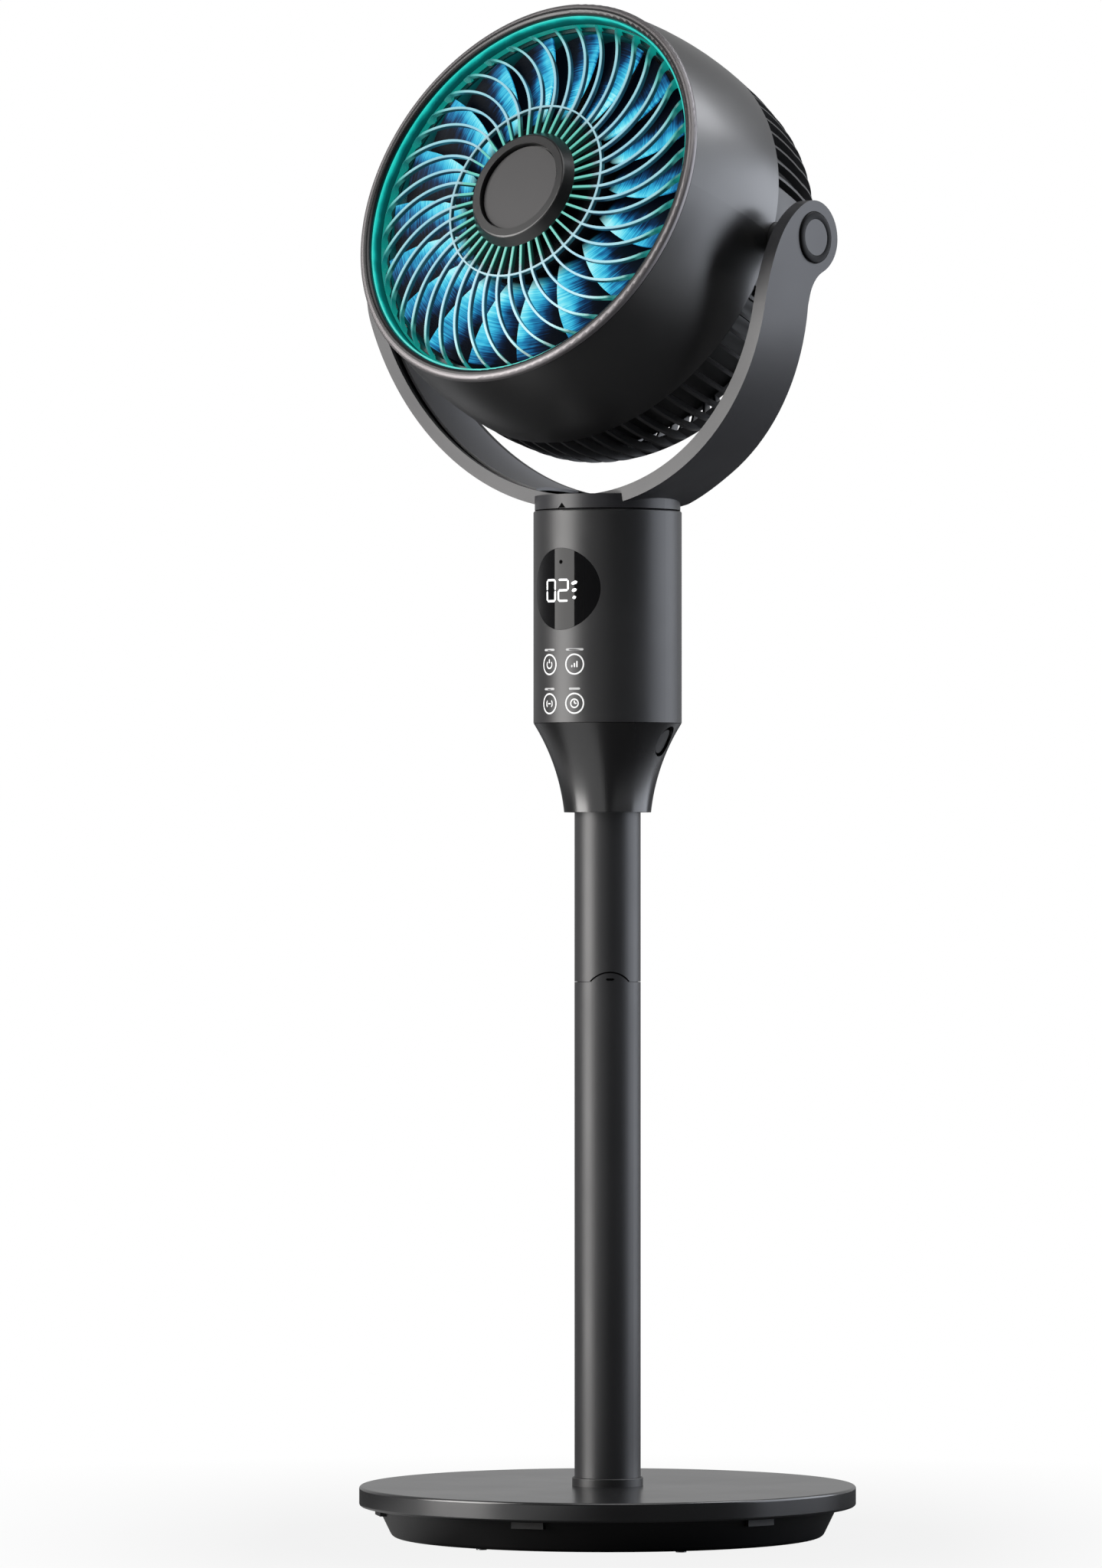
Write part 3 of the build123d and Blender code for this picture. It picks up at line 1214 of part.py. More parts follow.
with BuildPart(HEAD) as impeller:
    with BuildSketch(HEAD_SECTION) as impeller_section:
        with BuildLine():
            Polyline(
                (0, IMPELLER_HUB_FRONT),
                (IMPELLER_HUB_R, IMPELLER_HUB_FRONT),
                (IMPELLER_HUB_R, IMPELLER_HUB_REAR),
                (0, IMPELLER_HUB_REAR),
                close=True,
            )
        make_face()
        crown_corner = impeller_section.vertices().sort_by_distance((IMPELLER_HUB_R, IMPELLER_HUB_FRONT))[0]
        fillet(crown_corner, radius=IMPELLER_HUB_CROWN_R)
    revolve(axis=FAN_AXIS)
    with PolarLocations(0, BLADE_COUNT):
        add(blade.part)
    with BuildSketch(HEAD.offset(IMPELLER_HUB_FRONT - IMPELLER_HUB_WALL)):
        Circle(IMPELLER_HUB_R - IMPELLER_HUB_WALL)
        Circle(IMPELLER_BOSS_R, mode=Mode.SUBTRACT)
    extrude(amount=-IMPELLER_HUB_FRONT, mode=Mode.SUBTRACT)
    with BuildSketch(HEAD.offset(IMPELLER_HUB_FRONT - IMPELLER_BOSS_L)):
        Circle(IMPELLER_HUB_R - IMPELLER_HUB_WALL)
    extrude(amount=-IMPELLER_HUB_FRONT, mode=Mode.SUBTRACT)
    with BuildSketch(HEAD.offset(IMPELLER_HUB_FRONT)):
        Circle(SHAFT_R + RUN)
    extrude(amount=-IMPELLER_HUB_FRONT, mode=Mode.SUBTRACT)
write(impeller, "impeller")

with BuildPart() as impeller_nut:
    with BuildSketch(HEAD.offset(IMPELLER_HUB_FRONT)):
        RegularPolygon(NUT_R, 6)
        Circle(SHAFT_R + RUN, mode=Mode.SUBTRACT)
    extrude(amount=NUT_H)
write(impeller_nut, "impeller_nut")

with BuildPart() as motor_shaft:
    with BuildSketch(HEAD.offset(SHAFT_REAR)):
        Circle(SHAFT_R)
    extrude(amount=SHAFT_FRONT - SHAFT_REAR)
write(motor_shaft, "motor_shaft")


# Fan motor: two end bells, each with a bearing seat, round the stator and the rotor
def bell_outline(face, way, rim):
    """Section of an end bell, from its outer face inward along the axis to its open rim."""
    seat = face + way * BEARING_SEAT
    plate = face + way * MOTOR_WALL
    hub_end = seat + way * (BEARING_T + SLIP)
    return [
        (SHAFT_R + SEAM, face),
        (MOTOR_R, face),
        (MOTOR_R, rim),
        (MOTOR_R - MOTOR_WALL, rim),
        (MOTOR_R - MOTOR_WALL, plate),
        (BEARING_R + SLIP + BEARING_HUB_WALL, plate),
        (BEARING_R + SLIP + BEARING_HUB_WALL, hub_end),
        (BEARING_R + SLIP, hub_end),
        (BEARING_R + SLIP, seat),
        (SHAFT_R + SEAM, seat),
    ]


for name, face, way, rim in (
    ("motor_rear_bell", MOTOR_REAR, 1, MOTOR_SPLIT - SEAM / 2),
    ("motor_front_bell", MOTOR_FRONT, -1, MOTOR_SPLIT + SEAM / 2),
):
    with BuildPart() as bell:
        with BuildSketch(HEAD_SECTION):
            with BuildLine():
                Polyline(*bell_outline(face, way, rim), close=True)
            make_face()
        revolve(axis=FAN_AXIS)
        if way > 0:
            with BuildSketch(HEAD.offset(face)):
                with PolarLocations(MOTOR_SCREW_PITCH_R, MOTOR_SCREW_COUNT):
                    Circle(SCREW_R + SLIP)
            extrude(amount=MOTOR_WALL, mode=Mode.SUBTRACT)
    write(bell, name)

with BuildPart() as stator:
    with BuildSketch(HEAD.offset(ROTOR_REAR)):
        Circle(MOTOR_R - MOTOR_WALL - SLIP)
        Circle(STATOR_BORE_R, mode=Mode.SUBTRACT)
        with PolarLocations(STATOR_BORE_R + STATOR_SLOT_L, STATOR_SLOTS):
            Rectangle(STATOR_BORE_R, STATOR_SLOT_W, align=(Align.MAX, Align.CENTER), mode=Mode.SUBTRACT)
    extrude(amount=STATOR_L)
write(stator, "stator")

with BuildPart() as rotor:
    with BuildSketch(HEAD.offset(ROTOR_REAR)):
        Circle(STATOR_BORE_R - ROTOR_GAP)
        Circle(SHAFT_R + RUN, mode=Mode.SUBTRACT)
    extrude(amount=STATOR_L)
write(rotor, "rotor")

with BuildPart() as bearings:
    for seat in (MOTOR_REAR + BEARING_SEAT, MOTOR_FRONT - BEARING_SEAT - BEARING_T):
        with BuildSketch(HEAD.offset(seat)):
            Circle(BEARING_R)
            Circle(SHAFT_R + RUN, mode=Mode.SUBTRACT)
        extrude(amount=BEARING_T)
write(bearings, "bearings")

with BuildPart() as motor_screws:
    with BuildSketch(HEAD.offset(MOTOR_REAR - BULKHEAD_T)):
        with PolarLocations(MOTOR_SCREW_PITCH_R, MOTOR_SCREW_COUNT):
            Circle(SCREW_HEAD_R)
    extrude(amount=-SCREW_HEAD_H)
    with BuildSketch(HEAD.offset(MOTOR_REAR - BULKHEAD_T)):
        with PolarLocations(MOTOR_SCREW_PITCH_R, MOTOR_SCREW_COUNT):
            Circle(SCREW_R)
    extrude(amount=BULKHEAD_T + MOTOR_WALL)
write(motor_screws, "motor_screws")

with BuildPart() as driver_board:
    with BuildSketch(HEAD.offset(MOTOR_REAR - BULKHEAD_T - DRIVER_GAP)):
        Circle(DRIVER_BOARD_R)
    extrude(amount=-BOARD_T)
write(driver_board, "driver_board")

# Rear guard: a deep dome cut into axial fins, with the motor's pod and the pivot bosses
GUARD_SECTION = Plane(origin=PIVOT, x_dir=HEAD_UP, z_dir=(1, 0, 0))


def guard_hoop(radius):
    """Plan of one hoop that ties the guard's fins together."""
    with BuildSketch() as hoop_plan:
        Circle(radius + GUARD_RING_W / 2)
        Circle(radius - GUARD_RING_W / 2, mode=Mode.SUBTRACT)
    return hoop_plan.sketch


with BuildPart() as rear_guard:
    with BuildSketch(HEAD.offset(GUARD_CENTRE - GUARD_T)):
        Circle(POD_R + GUARD_RING_W)
        Circle(POD_R - POD_WALL, mode=Mode.SUBTRACT)
        for hoop in GUARD_HOOPS:
            add(guard_hoop(hoop))
        with PolarLocations(GUARD_HOOPS[0], FIN_COUNT, start_angle=180 / FIN_COUNT):
            Rectangle(GUARD_R - GUARD_HOOPS[0] + GUARD_T, FIN_W, align=(Align.MIN, Align.CENTER))
        with PolarLocations(POD_R, INNER_FIN_COUNT, start_angle=180 / FIN_COUNT):
            Rectangle(GUARD_HOOPS[0] - POD_R, FIN_W, align=(Align.MIN, Align.CENTER))
        with PolarLocations(PANEL_R, 2):
            Rectangle(GUARD_R - PANEL_R + GUARD_T, 2 * PANEL_HALF, align=(Align.MIN, Align.CENTER))
    extrude(amount=GUARD_FRONT - GUARD_CENTRE + 2 * GUARD_T)
    with BuildSketch(GUARD_SECTION):
        with BuildLine():
            side = ThreePointArc(
                (GUARD_R, GUARD_FRONT),
                (GUARD_SIDE_BOW_R, GUARD_SIDE_BOW),
                (GUARD_SIDE_R, GUARD_SIDE),
            )
            bend = ThreePointArc(side @ 1, (GUARD_CORNER_R, GUARD_CORNER), (GUARD_BACK_R, GUARD_BACK))
            back = Line(bend @ 1, (POD_R - POD_WALL, GUARD_CENTRE))
            inner_back = Line(
                (POD_R - POD_WALL, GUARD_CENTRE + GUARD_T),
                (GUARD_BACK_R, GUARD_BACK + GUARD_T),
            )
            inner_bend = ThreePointArc(
                inner_back @ 1,
                (GUARD_CORNER_R - GUARD_T * sqrt(0.5), GUARD_CORNER + GUARD_T * sqrt(0.5)),
                (GUARD_SIDE_R - GUARD_T, GUARD_SIDE),
            )
            inner_side = ThreePointArc(
                inner_bend @ 1,
                (GUARD_SIDE_BOW_R - GUARD_T, GUARD_SIDE_BOW),
                (GUARD_R - GUARD_T, GUARD_FRONT),
            )
            Line(back @ 1, inner_back @ 0)
            Line(inner_side @ 1, side @ 0)
        make_face()
    revolve(axis=FAN_AXIS, mode=Mode.INTERSECT)
    with BuildSketch(HEAD.offset(GUARD_FRONT - GUARD_SPIGOT_T)):
        Circle(GUARD_SPIGOT_R)
        Circle(GUARD_SPIGOT_R - GUARD_SPIGOT_T, mode=Mode.SUBTRACT)
    extrude(amount=GUARD_SPIGOT_T + GUARD_SPIGOT_L)
    with BuildSketch(HEAD.offset(GUARD_CENTRE)):
        Circle(POD_R)
        Circle(POD_R - POD_WALL, mode=Mode.SUBTRACT)
    extrude(amount=POD_FRONT - GUARD_CENTRE)
    with BuildSketch(HEAD.offset(MOTOR_REAR)):
        Circle(POD_R)
        Circle(BEARING_R, mode=Mode.SUBTRACT)
        with PolarLocations(MOTOR_SCREW_PITCH_R, MOTOR_SCREW_COUNT):
            Circle(SCREW_R + SLIP, mode=Mode.SUBTRACT)
    extrude(amount=-BULKHEAD_T)
    with BuildSketch(HEAD.offset(MOTOR_REAR - BULKHEAD_T)):
        with PolarLocations(STANDOFF_PITCH_R, STANDOFF_COUNT, start_angle=STANDOFF_TURN):
            Circle(STANDOFF_R)
    extrude(amount=-DRIVER_GAP)
    for end in (1, -1):
        with BuildSketch(PIVOT_PLANE.offset(end * BOSS_ROOT_R)):
            Circle(BOSS_R)
        extrude(amount=end * (BOSS_END - BOSS_ROOT_R))
        with BuildSketch(PIVOT_PLANE.offset(end * BOSS_END)):
            Circle(TILT_BUSH_R + SLIP)
        extrude(amount=-end * (TILT_BUSH_L + SEAM), mode=Mode.SUBTRACT)
write(rear_guard, "rear_guard")

# Rear cap: closes the pod behind the driver board
with BuildPart() as rear_cap:
    with BuildSketch(HEAD.offset(GUARD_CENTRE - SEAM)):
        Circle(POD_R)
    extrude(amount=-REAR_CAP_H)
    fillet(rear_cap.faces().sort_by(FAN_AXIS)[0].edges(), radius=REAR_CAP_EDGE_R)
    with BuildSketch(HEAD.offset(GUARD_CENTRE - SEAM)):
        Circle(POD_R - POD_WALL)
    extrude(amount=-(REAR_CAP_H - POD_WALL), mode=Mode.SUBTRACT)
    with BuildSketch(HEAD.offset(GUARD_CENTRE - SEAM)):
        Circle(POD_R - POD_WALL - SLIP)
        Circle(POD_R - 2 * POD_WALL, mode=Mode.SUBTRACT)
    extrude(amount=REAR_CAP_LIP)
    with BuildSketch(HEAD.offset(GUARD_CENTRE - SEAM)):
        Circle(POD_R - POD_WALL - SLIP)
        Circle(POD_R - 2 * POD_WALL, mode=Mode.SUBTRACT)
    extrude(amount=-(REAR_CAP_H - POD_WALL))
write(rear_cap, "rear_cap")
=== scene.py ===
# %% [markdown]
# # A pedestal fan with a lit drum head
# The CAD model is the fixed frame of this lesson. Its shapes are right already, so most of the work here is
# finish: what each plastic, paint and light looks like. Lit digits, printed keys, beads and dark marks of
# painted shade are added as new pieces.

# %% Load the frame
import bpy
import json
from math import asin, atan2, cos, degrees, pi, radians, sin
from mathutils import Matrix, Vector


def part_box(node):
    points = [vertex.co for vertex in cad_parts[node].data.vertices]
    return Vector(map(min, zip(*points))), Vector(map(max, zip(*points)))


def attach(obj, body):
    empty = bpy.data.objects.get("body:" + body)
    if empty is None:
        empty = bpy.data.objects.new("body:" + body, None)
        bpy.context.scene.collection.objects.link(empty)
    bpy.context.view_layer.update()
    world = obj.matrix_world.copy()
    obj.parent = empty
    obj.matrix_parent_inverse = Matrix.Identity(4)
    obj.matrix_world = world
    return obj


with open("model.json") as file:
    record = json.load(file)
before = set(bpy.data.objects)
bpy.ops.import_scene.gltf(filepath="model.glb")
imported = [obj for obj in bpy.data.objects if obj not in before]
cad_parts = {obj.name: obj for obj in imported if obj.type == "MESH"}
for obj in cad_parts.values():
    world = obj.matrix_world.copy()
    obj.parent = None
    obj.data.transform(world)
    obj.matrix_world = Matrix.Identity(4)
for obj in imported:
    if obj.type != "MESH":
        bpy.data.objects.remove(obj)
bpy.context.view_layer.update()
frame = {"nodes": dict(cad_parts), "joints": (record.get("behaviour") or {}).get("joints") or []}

nodes = frame["nodes"]
MM = 0.001     # Blender counts in metres here, so a size in millimetres is written as 5 * MM
print("CAD nodes:", len(nodes))

# %% [markdown]
# ## Places read from the frame
# The head turns about its pivot pins, and the fan's axis leans with the rest pose. Both could be typed in,
# but the frame's joints hold them already, and reading them keeps the scene true to the CAD model. The
# column's radius and the height of the display come from the boxes of their nodes for the same reason.

# %% Axes and key sizes
joints = {joint["name"]: joint for joint in frame["joints"]}
PIVOT = Vector(joints["head_tilt"]["pos_m"])
FAN_AXIS = Vector(joints["fan_spin"]["axis"]).normalized()


def corners(name):
    """Lowest and highest corner of a CAD node at rest."""
    low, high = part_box(name)
    return Vector(low), Vector(high)


def round_radius(name):
    """Radius of an upright round CAD node, from the width of its box."""
    low, high = corners(name)
    return (high.x - low.x) / 2


lens_low, lens_high = corners("display_lens")
DISPLAY_Z = (lens_low.z + lens_high.z) / 2
COLUMN_R = round_radius("column_shell")
print("column radius", round(COLUMN_R / MM, 1), "mm, display at", round(DISPLAY_Z / MM, 1), "mm")

# %% [markdown]
# ## Small tools for materials
# Colours are written as sRGB hex values, the way a colour picker shows them, and one function turns them
# into the linear values that the renderer works with. In the shader editor, nodes are placed and linked by
# hand. In a script, one function that adds a node with its settings and links does the same, and each
# material below then reads as a short list of steps.


# %% Colour and node helpers
def linear(hex_colour):
    """Linear RGBA from an sRGB hex value."""
    channels = []
    for start in (1, 3, 5):
        value = int(hex_colour[start:start + 2], 16) / 255
        channels.append(value / 12.92 if value <= 0.04045 else ((value + 0.055) / 1.055) ** 2.4)
    return (*channels, 1.0)


def put(tree, kind, settings=None, out=0, stops=(), **inputs):
    """Add a node, set its properties, then set or link its inputs. Returns one of its outputs.

    An input is given by its name, with _ for a space, or by i and its place in the node's list. The stops
    of a colour ramp are pairs of a position and a hex value.
    """
    node = tree.nodes.new(f"ShaderNode{kind}")
    for key, value in (settings or {}).items():
        setattr(node, key, value)
    for position, colour in stops:
        ramp = node.color_ramp.elements      # starts with a stop at 0 and one at 1
        stop = {0.0: ramp[0], 1.0: ramp[-1]}.get(position) or ramp.new(position)
        stop.color = linear(colour)
    for key, value in inputs.items():
        by_place = key[0] == "i" and key[1:].isdigit()
        socket = node.inputs[int(key[1:]) if by_place else key.replace("_", " ")]
        if isinstance(value, bpy.types.NodeSocket):
            tree.links.new(value, socket)
        else:
            socket.default_value = value
    return node.outputs[out] if len(node.outputs) else node


print("#808080 is", round(linear("#808080")[0], 3), "in linear light")


# %% Starting and giving a material
def new_material(name):
    """Empty material. Returns it with its node tree and the surface's Object coordinates."""
    material = bpy.data.materials.new(name)
    material.use_nodes = True
    tree = material.node_tree
    tree.nodes.clear()
    return material, tree, put(tree, "TexCoord", out="Object")


def dress(material, names):
    """Give one material to a list of CAD nodes."""
    for name in names:
        slots = nodes[name].data.materials
        slots.clear()
        slots.append(material)
    print(material.name, "on", ", ".join(names))


print("surfaces to dress:", len(nodes))

# %% [markdown]
# ## Moulded ABS
# Most of the fan is moulded ABS. Its mould has a fine spark-eroded grain, which gives a soft, wide highlight
# under studio light. Modelled grain would need millions of faces, so it is bump. Real grain of 0.3 mm is too
# fine to show at this distance, so it is drawn about 1 mm coarse. A slow drift of colour and roughness keeps
# large faces from looking like one flat colour.

# %% Moulded plastic
COLOURS = {"data_type": "RGBA"}      # makes a Mix node mix colours: its inputs 6 and 7
MIXED = 2                            # the place of the mixed colour among its outputs
NOISE_LOW, NOISE_HIGH = 0.3, 0.7     # nearly all of a noise lies between these
DRIFT_SIZE = 60 * MM
GRAIN_BUMP = 0.35


def moulded_plastic(name, colour, deep_colour, roughness, grain_mm, bump_mm, ior=1.54, drift_by=0.045):
    """Spark-eroded plastic: fine grain in the bump, slow drift in colour and roughness."""
    material, tree, place = new_material(name)
    drift = put(tree, "TexNoise", Vector=place, Scale=1 / DRIFT_SIZE, Detail=2.0)
    grain = put(tree, "TexNoise", Vector=place, Scale=1 / (grain_mm * MM), Detail=3.0)
    tint = put(tree, "Mix", COLOURS, MIXED, i0=drift, i6=linear(deep_colour), i7=linear(colour))
    rough = put(tree, "MapRange", Value=drift, From_Min=NOISE_LOW, From_Max=NOISE_HIGH,
                To_Min=roughness - drift_by, To_Max=roughness + drift_by)
    relief = put(tree, "Bump", Strength=GRAIN_BUMP, Distance=bump_mm * MM, Height=grain)
    shader = put(tree, "BsdfPrincipled", Base_Color=tint, Roughness=rough, Normal=relief, IOR=ior)
    put(tree, "OutputMaterial", Surface=shader)
    return material


print("colour and shine drift over", round(DRIFT_SIZE / MM), "mm")

# %% Outer mouldings
# Satin charcoal: a lamp shows as one soft stripe down the column.
charcoal_abs = moulded_plastic("charcoal_satin_abs", "#222223", "#1d1d1e", 0.41, 1.0, 0.03, ior=1.5)
dress(charcoal_abs, ["column_shell", "rear_guard", "rear_cap"])
# Pearl lacquer over the drum: nearly black, with a stronger shine than bare plastic.
drum_lacquer = moulded_plastic("barrel_pearl_lacquer", "#0f0f10", "#0c0c0d", 0.34, 1.2, 0.02, ior=1.8)
dress(drum_lacquer, ["shroud"])
# Finer polish on the neck: narrow highlights at its sides and a dark middle.
neck_abs = moulded_plastic("neck_satin_abs", "#121213", "#0e0e0f", 0.27, 1.0, 0.015, ior=1.65)
dress(neck_abs, ["neck"])
# Greyer satin on the yoke, which makes its flat face read as lighter than the drum.
grey_abs = moulded_plastic("grey_satin_abs", "#232326", "#1e1e21", 0.4, 1.0, 0.02, ior=1.46)
dress(grey_abs, ["yoke", "pivot_cap_right", "pivot_cap_left"])
# Pale, dull liner: it stays readable in the drum's shadow.
liner_abs = moulded_plastic("yoke_liner_abs", "#8e8e90", "#848486", 0.55, 1.2, 0.04)
dress(liner_abs, ["yoke_liner"])
# Smooth satin base with little drift: it mirrors the white behind it and the foot of the pole.
base_abs = moulded_plastic("base_satin_abs", "#161617", "#131314", 0.23, 1.0, 0.008, ior=1.7, drift_by=0.015)
dress(base_abs, ["base_cover"])

# %% Hub, shadow and bearing plastics
# Plain black that falls back into shadow.
dark_abs = moulded_plastic("dark_plain_abs", "#0f0f10", "#0b0b0c", 0.45, 1.2, 0.04)
dress(dark_abs, ["base_tray", "pole_collar", "pole_sleeve", "column_floor", "column_top", "display_frame",
                 "release_button", "power_inlet"])
# Half-gloss boss with a clear edge of light, round a dull disc that shows as one even grey.
boss_abs = moulded_plastic("hub_boss_abs", "#131314", "#0f0f10", 0.3, 0.9, 0.02)
dress(boss_abs, ["hub_boss"])
disc_abs = moulded_plastic("hub_disc_abs", "#2a292a", "#252425", 0.45, 0.9, 0.03)
dress(disc_abs, ["hub_disc"])
# Acetal runs without grease: milky white and slightly waxy.
bearing_acetal = moulded_plastic("white_acetal", "#d9d6cc", "#cfcbc0", 0.4, 1.5, 0.02)
dress(bearing_acetal, ["swivel_bush", "tilt_bushes", "swing_gear", "swing_pinion", "friction_washers"])

# %% [markdown]
# ## Powder-coated tube
# The pole is steel tube with a satin powder coat. Powder melts into a low, soft ripple a few millimetres
# wide, which painters call orange peel. A plain colour would give a highlight that is ruler straight, so the
# ripple goes into the bump, and the long highlight down the tube wavers a little.

# %% Pole paint
PEEL_SIZE = 3 * MM
PEEL_HEIGHT = 0.02 * MM
CLOUD_SIZE = 90 * MM
pole_coat, tree, place = new_material("satin_powder_coat")
peel = put(tree, "TexNoise", Vector=place, Scale=1 / PEEL_SIZE, Detail=1.0)
cloud = put(tree, "TexNoise", Vector=place, Scale=1 / CLOUD_SIZE, Detail=2.0)
coat_tint = put(tree, "Mix", COLOURS, MIXED, i0=cloud, i6=linear("#19191b"), i7=linear("#1e1e20"))
coat_rough = put(tree, "MapRange", Value=cloud, From_Min=NOISE_LOW, From_Max=NOISE_HIGH,
                 To_Min=0.38, To_Max=0.46)
ripple = put(tree, "Bump", Strength=0.2, Distance=PEEL_HEIGHT, Height=peel)
shader = put(tree, "BsdfPrincipled", Base_Color=coat_tint, Roughness=coat_rough, Normal=ripple, IOR=1.56)
put(tree, "OutputMaterial", Surface=shader)
dress(pole_coat, ["lower_pole", "upper_pole"])

# %% [markdown]
# ## Gloss black display lens
# The lens is tinted acrylic that carries on the curve of the column. Real tinted acrylic could be built with
# transmission, but nothing behind it shows while it is lit, so a nearly black gloss is enough. It gives the
# eye one hard, clear stripe of light, and fingerprints only vary its roughness.

# %% Display lens
SMUDGE_SIZE = 14 * MM
lens_acrylic, tree, place = new_material("gloss_black_acrylic")
smudge = put(tree, "TexNoise", Vector=place, Scale=1 / SMUDGE_SIZE, Detail=4.0)
lens_rough = put(tree, "MapRange", Value=smudge, From_Min=0.4, From_Max=0.75, To_Min=0.04, To_Max=0.09)
shader = put(tree, "BsdfPrincipled", Base_Color=linear("#0e0e0f"), Roughness=lens_rough, IOR=1.26)
put(tree, "OutputMaterial", Surface=shader)
dress(lens_acrylic, ["display_lens"])

# %% [markdown]
# ## Places inside the head
# The finishes of the head follow its round shape: they depend on the depth along the fan's axis, on the
# radius and on the angle. A texture could be unwrapped round the drum, but these three numbers come straight
# from Object coordinates with a little arithmetic, and they stay with a piece when the head tilts.

# %% Head coordinates
HEAD_RIGHT = Vector((1, 0, 0))
HEAD_UP = FAN_AXIS.cross(HEAD_RIGHT).normalized()


def along(tree, place, direction):
    """Distance from the pivot along a direction, for each point of the surface."""
    offset = put(tree, "VectorMath", {"operation": "SUBTRACT"}, i0=place, i1=PIVOT)
    return put(tree, "VectorMath", {"operation": "DOT_PRODUCT"}, "Value", i0=offset, i1=direction)


def polar(tree, place):
    """Radius from the fan's axis, and the angle round it in radians."""
    across, upward = along(tree, place, HEAD_RIGHT), along(tree, place, HEAD_UP)
    square = put(tree, "Math", {"operation": "MULTIPLY"}, i0=upward, i1=upward)
    square = put(tree, "Math", {"operation": "MULTIPLY_ADD"}, i0=across, i1=across, i2=square)
    radius = put(tree, "Math", {"operation": "SQRT"}, i0=square)
    return radius, put(tree, "Math", {"operation": "ARCTAN2"}, i0=upward, i1=across)


print("the head leans back", round(degrees(atan2(FAN_AXIS.z, -FAN_AXIS.y)), 1), "degrees")

# %% [markdown]
# ## Two-tone rim
# The rim is moulded in gloss black, and its outer shoulder is masked and sprayed with silver lacquer. Two
# pieces would need a joint that the real rim doesn't have. One material can do both: the radius says which
# side of the masking line a point is on. The eye gets a thin bright edge round a dark lip.

# %% Rim
MASK_R = 120.3 * MM
MASK_BLUR = 0.25 * MM
FLECK_SIZE = 25 * MM
SILVER_METAL = 0.75
rim_lacquer, tree, place = new_material("rim_silver_lacquer")
rim_r = polar(tree, place)[0]
sprayed = put(tree, "MapRange", Value=rim_r, From_Min=MASK_R - MASK_BLUR, From_Max=MASK_R + MASK_BLUR)
fleck = put(tree, "TexNoise", Vector=place, Scale=1 / FLECK_SIZE, Detail=2.0)
silver = put(tree, "Mix", COLOURS, MIXED, i0=fleck, i6=linear("#656263"), i7=linear("#767374"))
rim_tint = put(tree, "Mix", COLOURS, MIXED, i0=sprayed, i6=linear("#0a0a0b"), i7=silver)
rim_metal = put(tree, "MapRange", Value=sprayed, To_Max=SILVER_METAL)
rim_rough = put(tree, "MapRange", Value=sprayed, To_Min=0.32, To_Max=0.42)
shader = put(tree, "BsdfPrincipled", Base_Color=rim_tint, Metallic=rim_metal, Roughness=rim_rough)
put(tree, "OutputMaterial", Surface=shader)
dress(rim_lacquer, ["front_rim"])

# %% [markdown]
# ## Lit band
# A band of frosted acrylic lines the rim and glows teal. Lamps behind its front edge make it brightest
# there. Real lamps inside frosted acrylic would be slow and noisy to render, so the band glows by itself:
# a ramp over the depth fades it, a sine round the axis gives one soft peak for each lamp, and a slow noise
# keeps the ring from looking drawn.

# %% Lit band
ACRYLIC_IOR = 1.49
LAMP_COUNT = 36
LAMP_PEAK = 0.12
BAND_FRONT = 82.5 * MM
BAND_DEPTH = 12 * MM
BAND_HAZE = 9 * MM
BAND_WAVER = 2.5 * MM
BAND_STOPS = ((0.0, "#2ceadb"), (0.17, "#20d0c4"), (0.28, "#0c8a86"), (0.46, "#034a4b"), (1.0, "#011b1d"))
band_acrylic, tree, place = new_material("teal_lit_acrylic")
band_turn = polar(tree, place)[1]
lamp_turn = put(tree, "Math", {"operation": "MULTIPLY"}, i0=band_turn, i1=float(LAMP_COUNT))
lamp_wave = put(tree, "Math", {"operation": "SINE"}, i0=lamp_turn)
haze = put(tree, "TexNoise", Vector=place, Scale=1 / BAND_HAZE, Detail=2.0)
waver = put(tree, "Math", {"operation": "MULTIPLY_ADD"}, i0=lamp_wave, i1=LAMP_PEAK, i2=haze)
sunk = put(tree, "Math", {"operation": "SUBTRACT"}, i0=BAND_FRONT, i1=along(tree, place, FAN_AXIS))
sunk = put(tree, "Math", {"operation": "MULTIPLY_ADD"}, i0=waver, i1=BAND_WAVER, i2=sunk)
band_share = put(tree, "MapRange", Value=sunk, From_Max=BAND_DEPTH)
band_glow = put(tree, "ValToRGB", stops=BAND_STOPS, Fac=band_share)
band_body = put(tree, "Mix", COLOURS, MIXED, i0=band_share, i6=linear("#083e3c"), i7=linear("#021617"))
shader = put(tree, "BsdfPrincipled", Base_Color=band_body, Emission_Color=band_glow, Emission_Strength=0.8,
             Roughness=0.3, IOR=ACRYLIC_IOR)
put(tree, "OutputMaterial", Surface=shader)
dress(band_acrylic, ["light_ring", "led_board"])

# %% [markdown]
# ## Glow in the duct
# Behind the band, the duct is black plastic that catches a little of its light. The bounce could be left to
# the renderer, but the band is weak as a lamp, so the duct has the fading glow in its own material.

# %% Duct
GLOW_REACH = 34 * MM
DUCT_HAZE = 16 * MM
DUCT_WAVER = 8 * MM
DUCT_STOPS = ((0.0, "#045557"), (0.3, "#022d30"), (0.7, "#010d0f"), (1.0, "#000000"))
duct_abs, tree, place = new_material("duct_black_abs")
haze = put(tree, "TexNoise", Vector=place, Scale=1 / DUCT_HAZE, Detail=2.0)
sunk = put(tree, "Math", {"operation": "SUBTRACT"}, i0=BAND_FRONT - BAND_DEPTH,
           i1=along(tree, place, FAN_AXIS))
sunk = put(tree, "Math", {"operation": "MULTIPLY_ADD"}, i0=haze, i1=DUCT_WAVER, i2=sunk)
duct_share = put(tree, "MapRange", Value=sunk, From_Max=GLOW_REACH)
duct_glow = put(tree, "ValToRGB", stops=DUCT_STOPS, Fac=duct_share)
